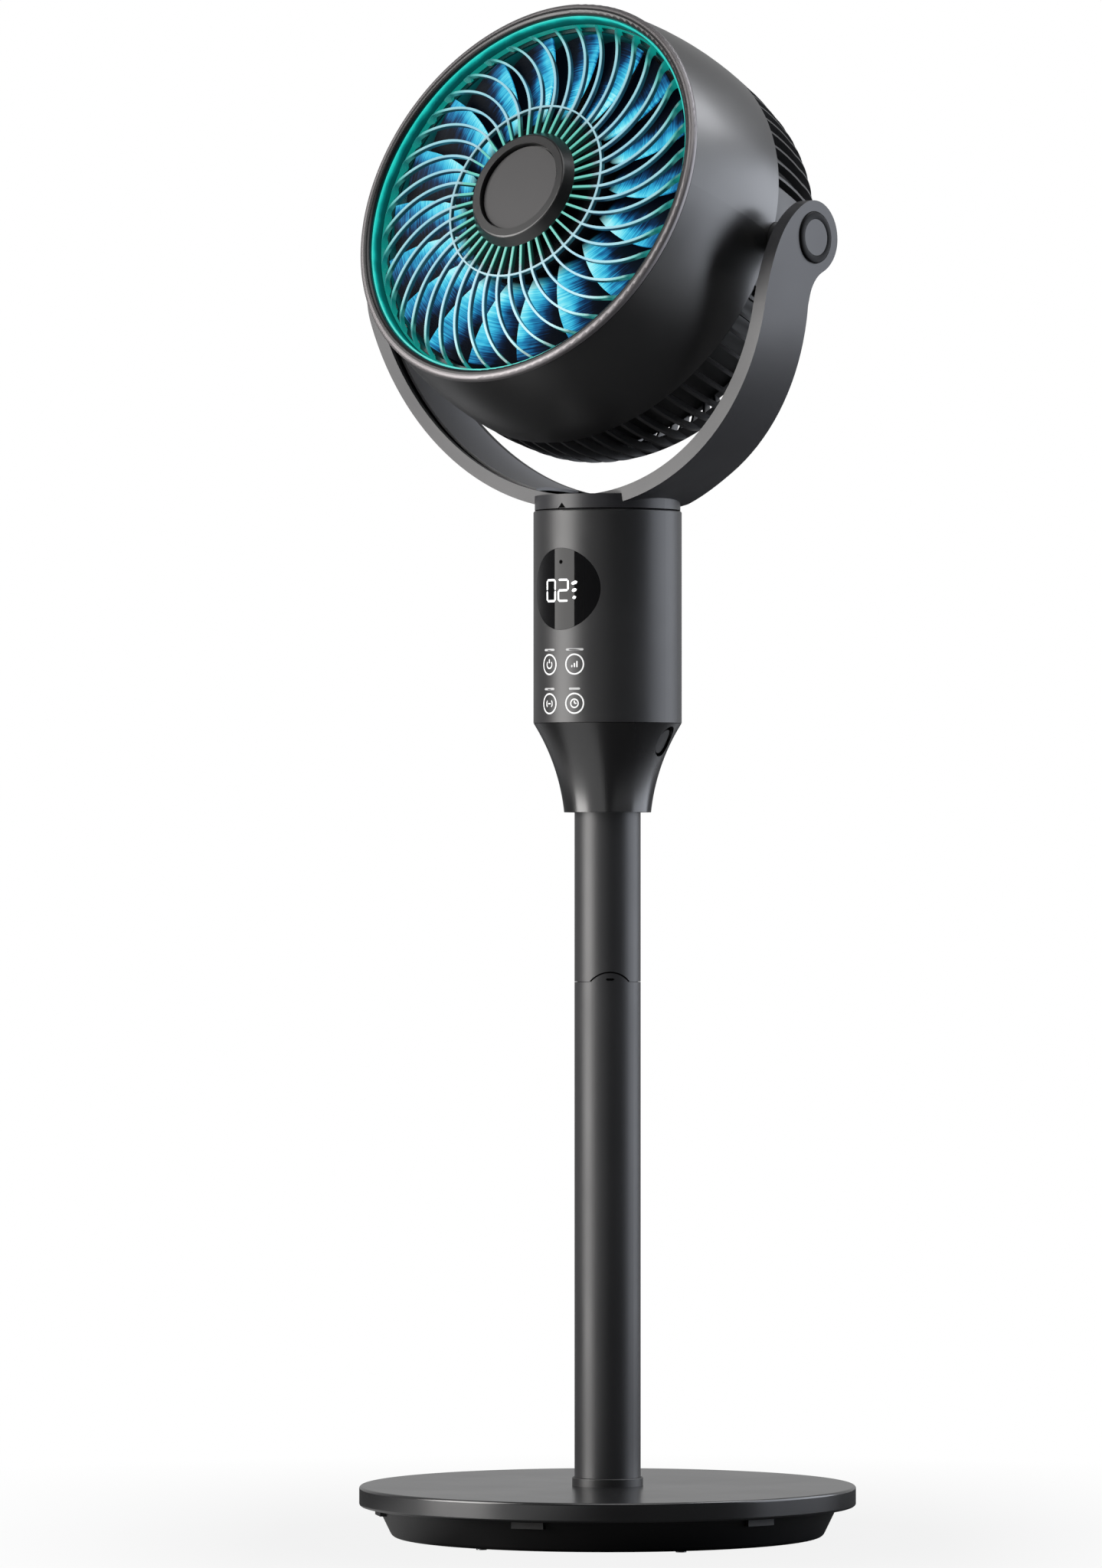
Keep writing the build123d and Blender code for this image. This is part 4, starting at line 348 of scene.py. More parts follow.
duct_body = put(tree, "Mix", COLOURS, MIXED, i0=haze, i6=linear("#070808"), i7=linear("#0c0d0d"))
shader = put(tree, "BsdfPrincipled", Base_Color=duct_body, Emission_Color=duct_glow, Emission_Strength=0.8,
             Roughness=0.42, IOR=ACRYLIC_IOR)
put(tree, "OutputMaterial", Surface=shader)
dress(duct_abs, ["air_duct"])

# %% [markdown]
# ## Grille ribs
# The ribs are clear plastic, and the light they carry from the band is painted: they glow by themselves,
# teal at the outer hoop, pale cyan over the blades, and teal again in the short straight ribs round the hub.
# Light-carrying plastic is hard to trace, so the radius picks the painted colour from a ramp. A painted
# highlight keeps only the front of each rib bright, and painted shade keeps its sides dark, so the distance
# behind the grille's dome picks between two ramps.

# %% Where a rib faces forward
RIB_LIT = 0.35 * MM
DOME_INNER_R, DOME_OUTER_R = 33.7 * MM, 55.7 * MM
DOME_FRONT = 86 * MM
DOME_SLOPE = -0.04545
DOME_CURVE = -0.444
HOOP_START, HOOP_END = 104 * MM, 111 * MM
rib_acrylic, tree, place = new_material("rib_acrylic_painted_light")
rib_r = polar(tree, place)[0]
inside_r = put(tree, "Math", {"operation": "SUBTRACT"}, i0=rib_r, i1=DOME_INNER_R)
outside_r = put(tree, "Math", {"operation": "SUBTRACT"}, i0=rib_r, i1=DOME_OUTER_R)
bulge = put(tree, "Math", {"operation": "MULTIPLY"}, i0=inside_r, i1=outside_r)
dome = put(tree, "Math", {"operation": "MULTIPLY_ADD"}, i0=inside_r, i1=DOME_SLOPE, i2=DOME_FRONT)
dome = put(tree, "Math", {"operation": "MULTIPLY_ADD"}, i0=bulge, i1=DOME_CURVE, i2=dome)
sunk = put(tree, "Math", {"operation": "SUBTRACT"}, i0=dome, i1=along(tree, place, FAN_AXIS))
# Painted highlight and shade: the front of each rib and the whole outer hoop take the lit ramp, the sides
# the shaded one.
front = put(tree, "MapRange", Value=sunk, From_Min=RIB_LIT, From_Max=3 * RIB_LIT, To_Min=1.0, To_Max=0.0)
hoop = put(tree, "MapRange", Value=rib_r, From_Min=HOOP_START, From_Max=HOOP_END)
facing = put(tree, "Math", {"operation": "MAXIMUM"}, i0=front, i1=hoop)
print("ribs are lit", RIB_LIT / MM, "mm deep")

# %% Rib colours
RIB_REACH = 116 * MM
RIB_HAZE = 12 * MM
RIB_WAVER = 3 * MM
# Painted light: the glow on the fronts of the ribs, then the darker painted shade on their sides.
RIB_STOPS = ((0.0, "#4bb39f"), (0.44, "#66c6b2"), (0.46, "#86a6aa"), (0.5, "#a6ced8"), (0.62, "#97cbdb"),
             (0.87, "#9cd0d6"), (0.925, "#52b4aa"), (0.95, "#0a6c66"), (1.0, "#0b8a7e"))
RIB_SHADED_SIDE_STOPS = ((0.0, "#0d2a25"), (0.45, "#0d2c28"), (0.55, "#123045"), (0.85, "#123a44"),
                  (1.0, "#04453b"))
haze = put(tree, "TexNoise", Vector=place, Scale=1 / RIB_HAZE, Detail=2.0)
wavering_r = put(tree, "Math", {"operation": "MULTIPLY_ADD"}, i0=haze, i1=RIB_WAVER, i2=rib_r)
rib_share = put(tree, "MapRange", Value=wavering_r, From_Max=RIB_REACH)
shaded_side_glow = put(tree, "ValToRGB", stops=RIB_SHADED_SIDE_STOPS, Fac=rib_share)
lit_front_glow = put(tree, "ValToRGB", stops=RIB_STOPS, Fac=rib_share)
painted_rib_light = put(tree, "Mix", COLOURS, MIXED, i0=facing, i6=shaded_side_glow, i7=lit_front_glow)
# Painted shade: a near-black body on the sides of the ribs, a lighter one on their lit fronts.
rib_lit_and_shaded_body = put(tree, "Mix", COLOURS, MIXED, i0=facing, i6=linear("#06090b"), i7=linear("#2a4048"))
shader = put(tree, "BsdfPrincipled", Base_Color=rib_lit_and_shaded_body, Emission_Color=painted_rib_light, Emission_Strength=0.95,
             Roughness=0.25, IOR=ACRYLIC_IOR)
put(tree, "OutputMaterial", Surface=shader)
dress(rib_acrylic, ["front_grille"])

# %% [markdown]
# ## Impeller
# The blades are black plastic that catches the band's light. Each front edge shines cyan, and the colour
# falls through blue to black as the blade slopes back into the drum. A lamp in front would light the hub as
# well, so the glow is painted by the distance behind the front edge. Fine streaks run along the air's path,
# so the fade looks combed. They come from a noise that is fast along the radius and slow round the axis.

# %% Distance behind a blade's front edge
BLADE_ROOT_R, BLADE_TIP_R = 50 * MM, 108 * MM
EDGE_ROOT = 71 * MM
EDGE_RISE = 4 * MM
TIP_FALL = 4 * MM
blade_plastic, tree, place = new_material("lit_blade_plastic")
blade_r, blade_turn = polar(tree, place)
span = put(tree, "MapRange", Value=blade_r, From_Min=BLADE_ROOT_R, From_Max=BLADE_TIP_R)
edge = put(tree, "Math", {"operation": "MULTIPLY_ADD"}, i0=span, i1=EDGE_RISE, i2=EDGE_ROOT)
fall = put(tree, "Math", {"operation": "SUBTRACT"}, i0=edge, i1=along(tree, place, FAN_AXIS))
far_out = put(tree, "Math", {"operation": "MULTIPLY"}, i0=span, i1=span)
fall = put(tree, "Math", {"operation": "MULTIPLY_ADD"}, i0=far_out, i1=TIP_FALL, i2=fall)
print("blades from", round(BLADE_ROOT_R / MM), "to", round(BLADE_TIP_R / MM), "mm")

# %% Blade colours
STREAK_R = 0.9 * MM
STREAKS_ROUND = 2.5
BLADE_CLOUD = 14 * MM
COMB_DEPTH = 6 * MM
FADE_START = 6 * MM
FADE_DEPTH = 10 * MM
ROOT_DARK, ROOT_LIT = 53.5 * MM, 62 * MM
BLADE_STOPS = ((0.0, "#a8f4fb"), (0.14, "#68def2"), (0.3, "#36b6de"), (0.45, "#1c70a4"), (0.6, "#0b2c50"),
               (0.78, "#050b18"), (1.0, "#02040a"))
streak_r = put(tree, "Math", {"operation": "DIVIDE"}, i0=blade_r, i1=STREAK_R)
streak_turn = put(tree, "Math", {"operation": "MULTIPLY"}, i0=blade_turn, i1=STREAKS_ROUND)
streak_place = put(tree, "CombineXYZ", i0=streak_r, i1=streak_turn)
streak = put(tree, "TexNoise", Vector=streak_place, Scale=1.0, Detail=3.0)
cloud = put(tree, "TexNoise", Vector=place, Scale=1 / BLADE_CLOUD, Detail=2.0)
comb = put(tree, "Math", {"operation": "ADD"}, i0=streak, i1=cloud)
combed = put(tree, "Math", {"operation": "MULTIPLY_ADD"}, i0=comb, i1=COMB_DEPTH, i2=fall)
fade = put(tree, "MapRange", Value=combed, From_Min=FADE_START, From_Max=FADE_START + FADE_DEPTH)
blade_glow = put(tree, "ValToRGB", stops=BLADE_STOPS, Fac=fade)
off_hub = put(tree, "MapRange", Value=blade_r, From_Min=ROOT_DARK, From_Max=ROOT_LIT)
blade_glow = put(tree, "Mix", COLOURS, MIXED, i0=off_hub, i6=linear("#010101"), i7=blade_glow)
blade_body = put(tree, "Mix", COLOURS, MIXED, i0=cloud, i6=linear("#030406"), i7=linear("#06080d"))
shader = put(tree, "BsdfPrincipled", Base_Color=blade_body, Emission_Color=blade_glow, Emission_Strength=1.0,
             Roughness=0.5, IOR=1.14)
put(tree, "OutputMaterial", Surface=shader)
dress(blade_plastic, ["impeller"])

# %% [markdown]
# ## Metals, boards and rubber
# Inner pieces are seen only through the guard or when the model is taken apart, but each has its own finish.
# They could share one grey. Each real one has a grain of its own size, though, and one function can draw
# them all: it puts the same noise into colour, roughness and bump. The grains of plating and rubber are
# finer in life, and are drawn 1 to 2 mm wide so that they show.

# %% Grained materials
GRAIN_RELIEF = 0.3
SMOOTHER, ROUGHER = 0.06, 0.08


def grained(name, colour, deep_colour, roughness, metallic, grain_mm, bump_mm):
    """Metal, rubber or lacquer with a grain of a given size in colour, roughness and bump."""
    material, tree, place = new_material(name)
    grain = put(tree, "TexNoise", Vector=place, Scale=1 / (grain_mm * MM), Detail=4.0)
    tint = put(tree, "Mix", COLOURS, MIXED, i0=grain, i6=linear(deep_colour), i7=linear(colour))
    rough = put(tree, "MapRange", Value=grain, From_Min=NOISE_LOW, From_Max=NOISE_HIGH,
                To_Min=roughness - SMOOTHER, To_Max=roughness + ROUGHER)
    relief = put(tree, "Bump", Strength=GRAIN_RELIEF, Distance=bump_mm * MM, Height=grain)
    shader = put(tree, "BsdfPrincipled", Base_Color=tint, Roughness=rough, Normal=relief, Metallic=metallic)
    put(tree, "OutputMaterial", Surface=shader)
    return material


# Zinc plate: bright, with a slightly cloudy shine.
zinc_plate = grained("zinc_plated_steel", "#b4b6b8", "#8f9194", 0.34, 1.0, 1.5, 0.01)
dress(zinc_plate, ["pole_socket", "socket_bolts", "tapping_screws", "motor_screws", "spindle",
                   "spindle_clip", "pivot_pin_right", "pivot_pin_left", "motor_shaft", "impeller_nut",
                   "bearings", "snap_pin", "snap_spring", "swing_motor"])
# Raw casting: dull and sandy.
cast_iron = grained("raw_cast_iron", "#3b3a39", "#2a2928", 0.62, 0.8, 2.5, 0.15)
dress(cast_iron, ["base_weight"])
# Die-cast bells: pale, with a soft sheen.
cast_alloy = grained("cast_aluminium", "#9c9ea0", "#84868a", 0.42, 1.0, 2.0, 0.05)
dress(cast_alloy, ["motor_rear_bell", "motor_front_bell"])
# Stacked steel under varnish: dark, with fine lines of light.
lamination = grained("varnished_laminations", "#4a4a4d", "#333335", 0.48, 0.7, 0.8, 0.05)
dress(lamination, ["rotor", "stator"])
# Rubber: matt, with no highlight to speak of.
foot_rubber = grained("black_rubber", "#171717", "#101010", 0.78, 0.0, 1.8, 0.08)
dress(foot_rubber, ["base_feet"])
# Solder lacquer: green and glossy.
board_lacquer = grained("lacquered_board", "#1d5a38", "#123f27", 0.3, 0.0, 4.0, 0.05)
dress(board_lacquer, ["display_board", "touch_board", "main_board", "driver_board"])

# %% [markdown]
# ## Marks on the column
# The lit digits and the printed keys lie on a cylinder. They could be drawn in a texture, but thin shapes of
# their own stay sharp close up. Each mark is modelled flat, facing the front, because that is easy to draw
# and check. Then every point is wrapped round the column: the sideways distance becomes an arc.

# %% A flat bar
INK_T = 0.16 * MM
BAR_POINT = 0.46     # of the width: the ends of a bar come almost to a point


def clear_selection():
    """Leave edit mode and deselect everything, so an operator only acts on the new piece."""
    if bpy.context.mode != "OBJECT":
        bpy.ops.object.mode_set(mode="OBJECT")
    bpy.ops.object.select_all(action="DESELECT")


def flat_bar(length, width):
    """Bar with pointed ends, drawn flat in the XZ plane and cut across so that it can bend."""
    clear_selection()
    bpy.ops.mesh.primitive_cube_add(size=1, scale=(length, INK_T, width))
    bar = bpy.context.object
    bpy.ops.object.transform_apply(location=False, rotation=False, scale=True)
    bpy.ops.object.mode_set(mode="EDIT")
    bpy.ops.mesh.select_mode(type="EDGE")
    bpy.ops.mesh.select_all(action="DESELECT")
    bpy.ops.object.mode_set(mode="OBJECT")
    for edge in bar.data.edges:
        start, end = (bar.data.vertices[i].co for i in edge.vertices)
        edge.select = abs(start.y - end.y) > INK_T / 2
    bpy.ops.object.mode_set(mode="EDIT")
    bpy.ops.mesh.bevel(offset=width * BAR_POINT, segments=1, affect="EDGES")
    bpy.ops.mesh.select_all(action="SELECT")
    bpy.ops.mesh.subdivide(number_cuts=2)
    bpy.ops.object.mode_set(mode="OBJECT")
    return bar


print("marks are", INK_T / MM, "mm thick")


# %% Moving and joining flat pieces
def shift(piece, across, up, turn_deg=0.0):
    """Turn a flat piece in its own plane, then move it, and apply both to its mesh."""
    clear_selection()
    piece.select_set(True)
    bpy.context.view_layer.objects.active = piece
    piece.rotation_euler = (0, -radians(turn_deg), 0)
    bpy.ops.object.transform_apply(location=False, rotation=True, scale=False)
    piece.location = (across, 0, up)
    bpy.ops.object.transform_apply(location=True, rotation=False, scale=False)
    return piece


def join(name, pieces):
    """Join flat pieces into one named mark."""
    clear_selection()
    for piece in pieces:
        piece.select_set(True)
    bpy.context.view_layer.objects.active = pieces[0]
    if len(pieces) > 1:
        bpy.ops.object.join()
    mark = bpy.context.object
    mark.name = mark.data.name = name
    return mark


print("meshes before the first mark:", len(bpy.data.meshes))

# %% Wrapping and finishing a piece
INK_PROUD = 0.12 * MM


def finish_piece(piece, material, body):
    """Colour a new piece and let it ride on a body."""
    piece.data.materials.clear()
    piece.data.materials.append(material)
    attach(piece, body)
    print(piece.name, "rides on", body)


def put_mark(mark, material, radius, height, azimuth_deg=0.0):
    """Bend a flat mark round an upright cylinder of the stand, at a height and an azimuth from the front."""
    for vertex in mark.data.vertices:
        angle = vertex.co.x / radius + radians(azimuth_deg)
        reach = radius + INK_PROUD - vertex.co.y
        vertex.co = (reach * sin(angle), -reach * cos(angle), height + vertex.co.z)
    mark.data.update()
    finish_piece(mark, material, "stand")


print("one millimetre on the column is", round(degrees(MM / COLUMN_R), 2), "degrees")

# %% [markdown]
# ## Light and ink
# Light comes through the lens only where the digits are. A lamp behind a mask would do the same, but bars
# that glow are simpler and give no noise. The key rings are pad-printed ink: pale, thin and slightly uneven.
# The receiver window is dark plastic. The same black, with almost no shine, is painted shade in slots and
# notches.

# %% Light and ink
FLICKER_SIZE = 4 * MM
digit_light, tree, place = new_material("white_digit_light")
flicker = put(tree, "TexNoise", Vector=place, Scale=1 / FLICKER_SIZE, Detail=1.0)
light_tint = put(tree, "Mix", COLOURS, MIXED, i0=flicker, i6=linear("#cfd4d6"), i7=linear("#ffffff"))
shader = put(tree, "BsdfPrincipled", Base_Color=light_tint, Emission_Color=light_tint,
             Emission_Strength=0.8, Roughness=0.4)
put(tree, "OutputMaterial", Surface=shader)
dress(digit_light, ["digit_block"])

print_ink = moulded_plastic("pad_print_ink", "#f2f2f3", "#d2d3d4", 0.55, 0.6, 0.01)
dim_ink = moulded_plastic("dim_print_ink", "#c2c3c4", "#a4a5a6", 0.55, 0.6, 0.01)
# Dark plastic of the receiver window, and painted shade in the pole's slot and joint and in the centre
# notch.
window_and_shade_black = moulded_plastic("dark_window_and_painted_shade", "#050505", "#030303", 0.6, 0.8, 0.02, ior=1.05)
print("inks:", print_ink.name, dim_ink.name, window_and_shade_black.name)

# %% [markdown]
# ## Digits
# The display shows two seven-segment figures with three slanted level bars beside them, and a small dark
# receiver window above. A font would give solid letters, but a segment display is made of separate bars, so
# each figure is a list of bars with a small gap at each corner.

# %% Figures
DIGIT_W, DIGIT_H = 7.2 * MM, 12.6 * MM
SEGMENT_W = 1.2 * MM
SEGMENT_GAP = 0.5 * MM
TENS_ACROSS, UNITS_ACROSS = -8.1 * MM, 1.7 * MM
DIGITS_Z = DISPLAY_Z - 0.9 * MM
SEGMENTS = {
    "0": ("top", "high_left", "high_right", "low_left", "low_right", "bottom"),
    "2": ("top", "high_right", "middle", "low_left", "bottom"),
}
SEGMENT_PLACES = {
    "top": (0, 1, False), "middle": (0, 0, False), "bottom": (0, -1, False),
    "high_left": (-1, 0.5, True), "high_right": (1, 0.5, True),
    "low_left": (-1, -0.5, True), "low_right": (1, -0.5, True),
}


def put_digit(name, figure, across):
    """Seven-segment figure made of pointed bars."""
    bars = []
    for segment in SEGMENTS[figure]:
        side, level, upright = SEGMENT_PLACES[segment]
        length = (DIGIT_H / 2 if upright else DIGIT_W) - SEGMENT_GAP
        bar = flat_bar(length, SEGMENT_W)
        bars.append(shift(bar, across + side * DIGIT_W / 2, level * DIGIT_H / 2, 90 if upright else 0))
    put_mark(join(name, bars), digit_light, COLUMN_R, DIGITS_Z)


put_digit("digit_tens", "0", TENS_ACROSS)
put_digit("digit_units", "2", UNITS_ACROSS)

# %% Level bars
LEVEL_ACROSS = 9.6 * MM
LEVEL_PITCH = 4.4 * MM
LEVEL_LENGTHS = (2.6 * MM, 3.4 * MM, 4.2 * MM)
LEVEL_W = 1.9 * MM
LEVEL_SLANT = 18
level_bars = []
for step, length in enumerate(LEVEL_LENGTHS):
    level_bars.append(shift(flat_bar(length, LEVEL_W), LEVEL_ACROSS, (step - 1) * LEVEL_PITCH, LEVEL_SLANT))
put_mark(join("level_icon", level_bars), digit_light, COLUMN_R, DIGITS_Z)

# %% Receiver window
RECEIVER_R = 1.2 * MM
RECEIVER_RISE = 16.2 * MM
RECEIVER_EDGE = INK_T * 0.3


def break_edges(offset, segments):
    """Bevel every edge of the active piece."""
    bpy.ops.object.mode_set(mode="EDIT")
    bpy.ops.mesh.select_all(action="SELECT")
    bpy.ops.mesh.bevel(offset=offset, segments=segments, affect="EDGES")
    bpy.ops.object.mode_set(mode="OBJECT")


clear_selection()
bpy.ops.mesh.primitive_cylinder_add(vertices=24, radius=RECEIVER_R, depth=INK_T, rotation=(pi / 2, 0, 0))
bpy.ops.object.transform_apply(location=False, rotation=True, scale=False)
break_edges(RECEIVER_EDGE, 1)
receiver = join("receiver_window", [bpy.context.object])
put_mark(receiver, window_and_shade_black, COLUMN_R, DISPLAY_Z + RECEIVER_RISE)

# %% [markdown]
# ## Touch keys
# Four keys sit under the display, each a thin ring round a plain sign: a power sign, bars for the speed,
# arcs for the swing and clock hands for the timer. A short plain bar stands over each. Curves could draw
# them, but a torus pressed flat is a ring at once, and an arc is what is left when part of it is deleted.


# %% Rings and arcs
def flat_ring(radius, width):
    """Thin flat ring in the XZ plane, pressed from a torus."""
    clear_selection()
    bpy.ops.mesh.primitive_torus_add(major_radius=radius, minor_radius=width / 2, major_segments=64,
                                     minor_segments=8, rotation=(pi / 2, 0, 0))
    ring = bpy.context.object
    bpy.ops.object.transform_apply(location=False, rotation=True, scale=False)
    bpy.ops.object.mode_set(mode="EDIT")
    bpy.ops.mesh.select_all(action="SELECT")
    bpy.ops.transform.resize(value=(1, INK_T / width, 1))
    bpy.ops.object.mode_set(mode="OBJECT")
    return ring


def flat_arc(radius, width, start_deg, end_deg):
    """Part of a flat ring between two angles, counted from the right, with closed ends."""
    arc = flat_ring(radius, width)
    bpy.ops.object.mode_set(mode="EDIT")
    bpy.ops.mesh.select_mode(type="VERT")
    bpy.ops.mesh.select_all(action="DESELECT")
    bpy.ops.object.mode_set(mode="OBJECT")
    for vertex in arc.data.vertices:
        angle = degrees(atan2(vertex.co.z, vertex.co.x)) % 360
        vertex.select = not start_deg <= angle <= end_deg
    bpy.ops.object.mode_set(mode="EDIT")
    bpy.ops.mesh.delete(type="VERT")
    bpy.ops.mesh.select_all(action="SELECT")
    bpy.ops.mesh.fill_holes(sides=16)
    bpy.ops.object.mode_set(mode="OBJECT")
    return arc


print("rings and arcs are pressed to", INK_T / MM, "mm")

# %% Signs
SIGN_LINE = 0.85 * MM
POWER_R, SWING_R, TIMER_R = 2.3 * MM, 2.6 * MM, 2.5 * MM
POWER_ARCS = ((135, 360), (0, 45))
SWING_ARCS = ((0, 50), (310, 360), (130, 230))
STROKE = 2.6 * MM
STROKE_RISE = 2.0 * MM
SPEED_HEIGHTS = (1.6 * MM, 2.8 * MM, 4.0 * MM)
SPEED_PITCH = 1.7 * MM
SPEED_FOOT = -2.0 * MM
MINUTE_HAND, HOUR_HAND = 1.9 * MM, 1.6 * MM
MINUTE_RISE, HOUR_ACROSS = 0.8 * MM, 0.7 * MM


def power_sign():
    """Open ring with an upright stroke."""
    bow = [flat_arc(POWER_R, SIGN_LINE, *ends) for ends in POWER_ARCS]
    return [*bow, shift(flat_bar(STROKE, SIGN_LINE), 0, STROKE_RISE, 90)]


def speed_sign():
    """Three bars that grow to the right."""
    return [shift(flat_bar(height, SIGN_LINE), (step - 1) * SPEED_PITCH, height / 2 + SPEED_FOOT, 90)
            for step, height in enumerate(SPEED_HEIGHTS)]


def swing_sign():
    """Two facing arcs with a bar between them."""
    arcs = [flat_arc(SWING_R, SIGN_LINE, *ends) for ends in SWING_ARCS]
    return [*arcs, flat_bar(STROKE, SIGN_LINE)]


def timer_sign():
    """Small ring with two clock hands."""
    return [flat_ring(TIMER_R, SIGN_LINE), shift(flat_bar(MINUTE_HAND, SIGN_LINE), 0, MINUTE_RISE, 90),
            shift(flat_bar(HOUR_HAND, SIGN_LINE), HOUR_ACROSS, 0)]


KEY_SIGNS = {"power": power_sign, "speed": speed_sign, "swing": swing_sign, "timer": timer_sign}
print("signs:", ", ".join(KEY_SIGNS))

# %% Keys
KEY_ACROSS = 9.7 * MM
KEY_R = 5.9 * MM
KEY_LINE = 0.95 * MM
KEY_ROWS = (527.0 * MM, 503.5 * MM)
LABEL_LENGTHS = {"power": 9.5 * MM, "speed": 12.0 * MM, "swing": 9.5 * MM, "timer": 7.6 * MM}
LABEL_W = 1.3 * MM
LABEL_RISE = 8.8 * MM
key_spots = [(side, row) for row in KEY_ROWS for side in (-1, 1)]
for (name, sign), (side, row) in zip(KEY_SIGNS.items(), key_spots):
    key = join(f"{name}_key", [flat_ring(KEY_R, KEY_LINE), *sign()])
    shift(key, side * KEY_ACROSS, 0)
    put_mark(key, print_ink, COLUMN_R, row)
    label = shift(join(f"{name}_label", [flat_bar(LABEL_LENGTHS[name], LABEL_W)]), side * KEY_ACROSS, 0)
    put_mark(label, dim_ink, COLUMN_R, row + LABEL_RISE)

# %% [markdown]
# ## Key of the pole
# Where the two lengths of the pole meet, the lower one ends in an arched key, and under it the key has a
# small slot for a tool. The shade in the joint round the arch and in the slot is painted: each is a flat
# near-black mark like those on the column. Both could be cut into the tube, but the joint is about a pixel
# wide and the slot is shallow. The arch was cut straight back through the tube, so the mark's sideways
# distance is a projection, and an arc sine turns it to a distance round the tube before it is wrapped.

# %% Pole slot and gasket
POLE_R = round_radius("upper_pole")
KEY_TOP = corners("lower_pole")[1].z
KEY_AZIMUTH = 43.0
SLOT_L, SLOT_W = 5.0 * MM, 1.3 * MM
SLOT_DROP = 4.3 * MM
# Painted shade: a flat near-black mark stands for the hollow of the tool slot.
slot_shade_bar = join("pole_key_slot_shade", [flat_bar(SLOT_L, SLOT_W)])
put_mark(slot_shade_bar, window_and_shade_black, POLE_R, KEY_TOP - SLOT_DROP, KEY_AZIMUTH)

ARCH_R = 15.0 * MM
ARCH_ENDS = (38, 142)
SEAM_SHADE_W = 0.8 * MM
# Painted shade: a thin near-black arc stands for the shadow in the joint round the arch.
seam_shade = join("pole_key_seam_shade", [flat_arc(ARCH_R, SEAM_SHADE_W, *ARCH_ENDS)])
shift(seam_shade, 0, -ARCH_R)
for vertex in seam_shade.data.vertices:
    vertex.co.x = POLE_R * asin(vertex.co.x / POLE_R)
put_mark(seam_shade, window_and_shade_black, POLE_R, KEY_TOP, KEY_AZIMUTH)

# %% [markdown]
# ## Plain face on the hub
# The hub's disc carries a thin flat face plate. A plain cylinder is that shape already, but a real plate has
# no knife edges, so its rims are bevelled to catch a line of light.

# %% Hub face
HUB_FACE_R = 27.3 * MM
HUB_FACE_T = 0.9 * MM
HUB_FACE_EDGE = 0.25 * MM
HUB_FACE_PROUD = 0.1 * MM
DISC_TOP = 89.0 * MM
clear_selection()
bpy.ops.mesh.primitive_cylinder_add(vertices=96, radius=HUB_FACE_R, depth=HUB_FACE_T)
hub_face = bpy.context.object
hub_face.name = hub_face.data.name = "hub_face"
break_edges(HUB_FACE_EDGE, 2)
hub_face.rotation_euler = FAN_AXIS.to_track_quat("Z", "Y").to_euler()
hub_face.location = PIVOT + FAN_AXIS * (DISC_TOP - HUB_FACE_T / 2 + HUB_FACE_PROUD)
bpy.ops.object.transform_apply(location=True, rotation=True, scale=True)
finish_piece(hub_face, disc_abs, "head")

# %% [markdown]
# ## Beads round the pivot caps
# At each end of the pivot, a black bead lies in the groove between the cap and the yoke's ear. A torus is
# round in section. The bead is pressed into its groove, so the torus is flattened to a low ring. Its black
# has little shine, so the eye sees a dark line round a greyer cap.

# %% Cap rings
bead_black = moulded_plastic("cap_ring_gloss", "#0a0a0b", "#070708", 0.4, 0.8, 0.005, ior=1.16)
BEAD_R = 12.8 * MM
BEAD_HALF_W = 2.6 * MM
BEAD_HALF_T = 1.0 * MM
BEAD_PROUD = 0.2 * MM
yoke_low, yoke_high = corners("yoke")
for side, ear_x in (("right", yoke_high.x + BEAD_PROUD), ("left", yoke_low.x - BEAD_PROUD)):
    clear_selection()
    bpy.ops.mesh.primitive_torus_add(major_radius=BEAD_R, minor_radius=BEAD_HALF_W, major_segments=96,
                                     minor_segments=16, rotation=(0, pi / 2, 0))
    bead = bpy.context.object
    bead.name = bead.data.name = f"cap_ring_{side}"
    bpy.ops.object.transform_apply(location=False, rotation=True, scale=False)
    bead.scale = (BEAD_HALF_T / BEAD_HALF_W, 1, 1)
    bead.location = (ear_x, PIVOT.y, PIVOT.z)
    bpy.ops.object.transform_apply(location=True, rotation=True, scale=True)
    bpy.ops.object.shade_smooth()
    finish_piece(bead, bead_black, "yoke")

# %% [markdown]
# ## Centre mark of the swing
# A small triangle is sunk into the front of the swivel hub and shows where the swing has its middle. The
# shade at the bottom of the recess is painted: a thin near-black triangle lies there. A three-sided cylinder
# is a triangle already, so it only needs to be stretched to size and have its edges broken.

# %% Centre mark
MARK_W, MARK_H = 5.4 * MM, 2.9 * MM
MARK_T = 0.3 * MM
MARK_EDGE = 0.08 * MM
MARK_FLOOR_R = 43.4 * MM
MARK_GAP = 0.2 * MM
clear_selection()
bpy.ops.mesh.primitive_cylinder_add(vertices=3, radius=1.0, depth=MARK_T, rotation=(pi / 2, 0, 0))
centre_notch_shade = bpy.context.object
centre_notch_shade.name = centre_notch_shade.data.name = "centre_notch_shade"
bpy.ops.object.transform_apply(location=False, rotation=True, scale=False)
# A triangle in a circle of radius 1 is 2 sin 60 degrees wide and 1.5 high.
centre_notch_shade.scale = (MARK_W / (2 * sin(pi / 3)), 1, MARK_H / 1.5)
centre_notch_shade.location = (0, -MARK_FLOOR_R - MARK_T / 2, yoke_low.z + MARK_GAP + MARK_H / 3)
bpy.ops.object.transform_apply(location=True, rotation=True, scale=True)
break_edges(MARK_EDGE, 1)
# Painted shade: the near-black triangle stands for the shadow at the bottom of the recess.
finish_piece(centre_notch_shade, window_and_shade_black, "yoke")
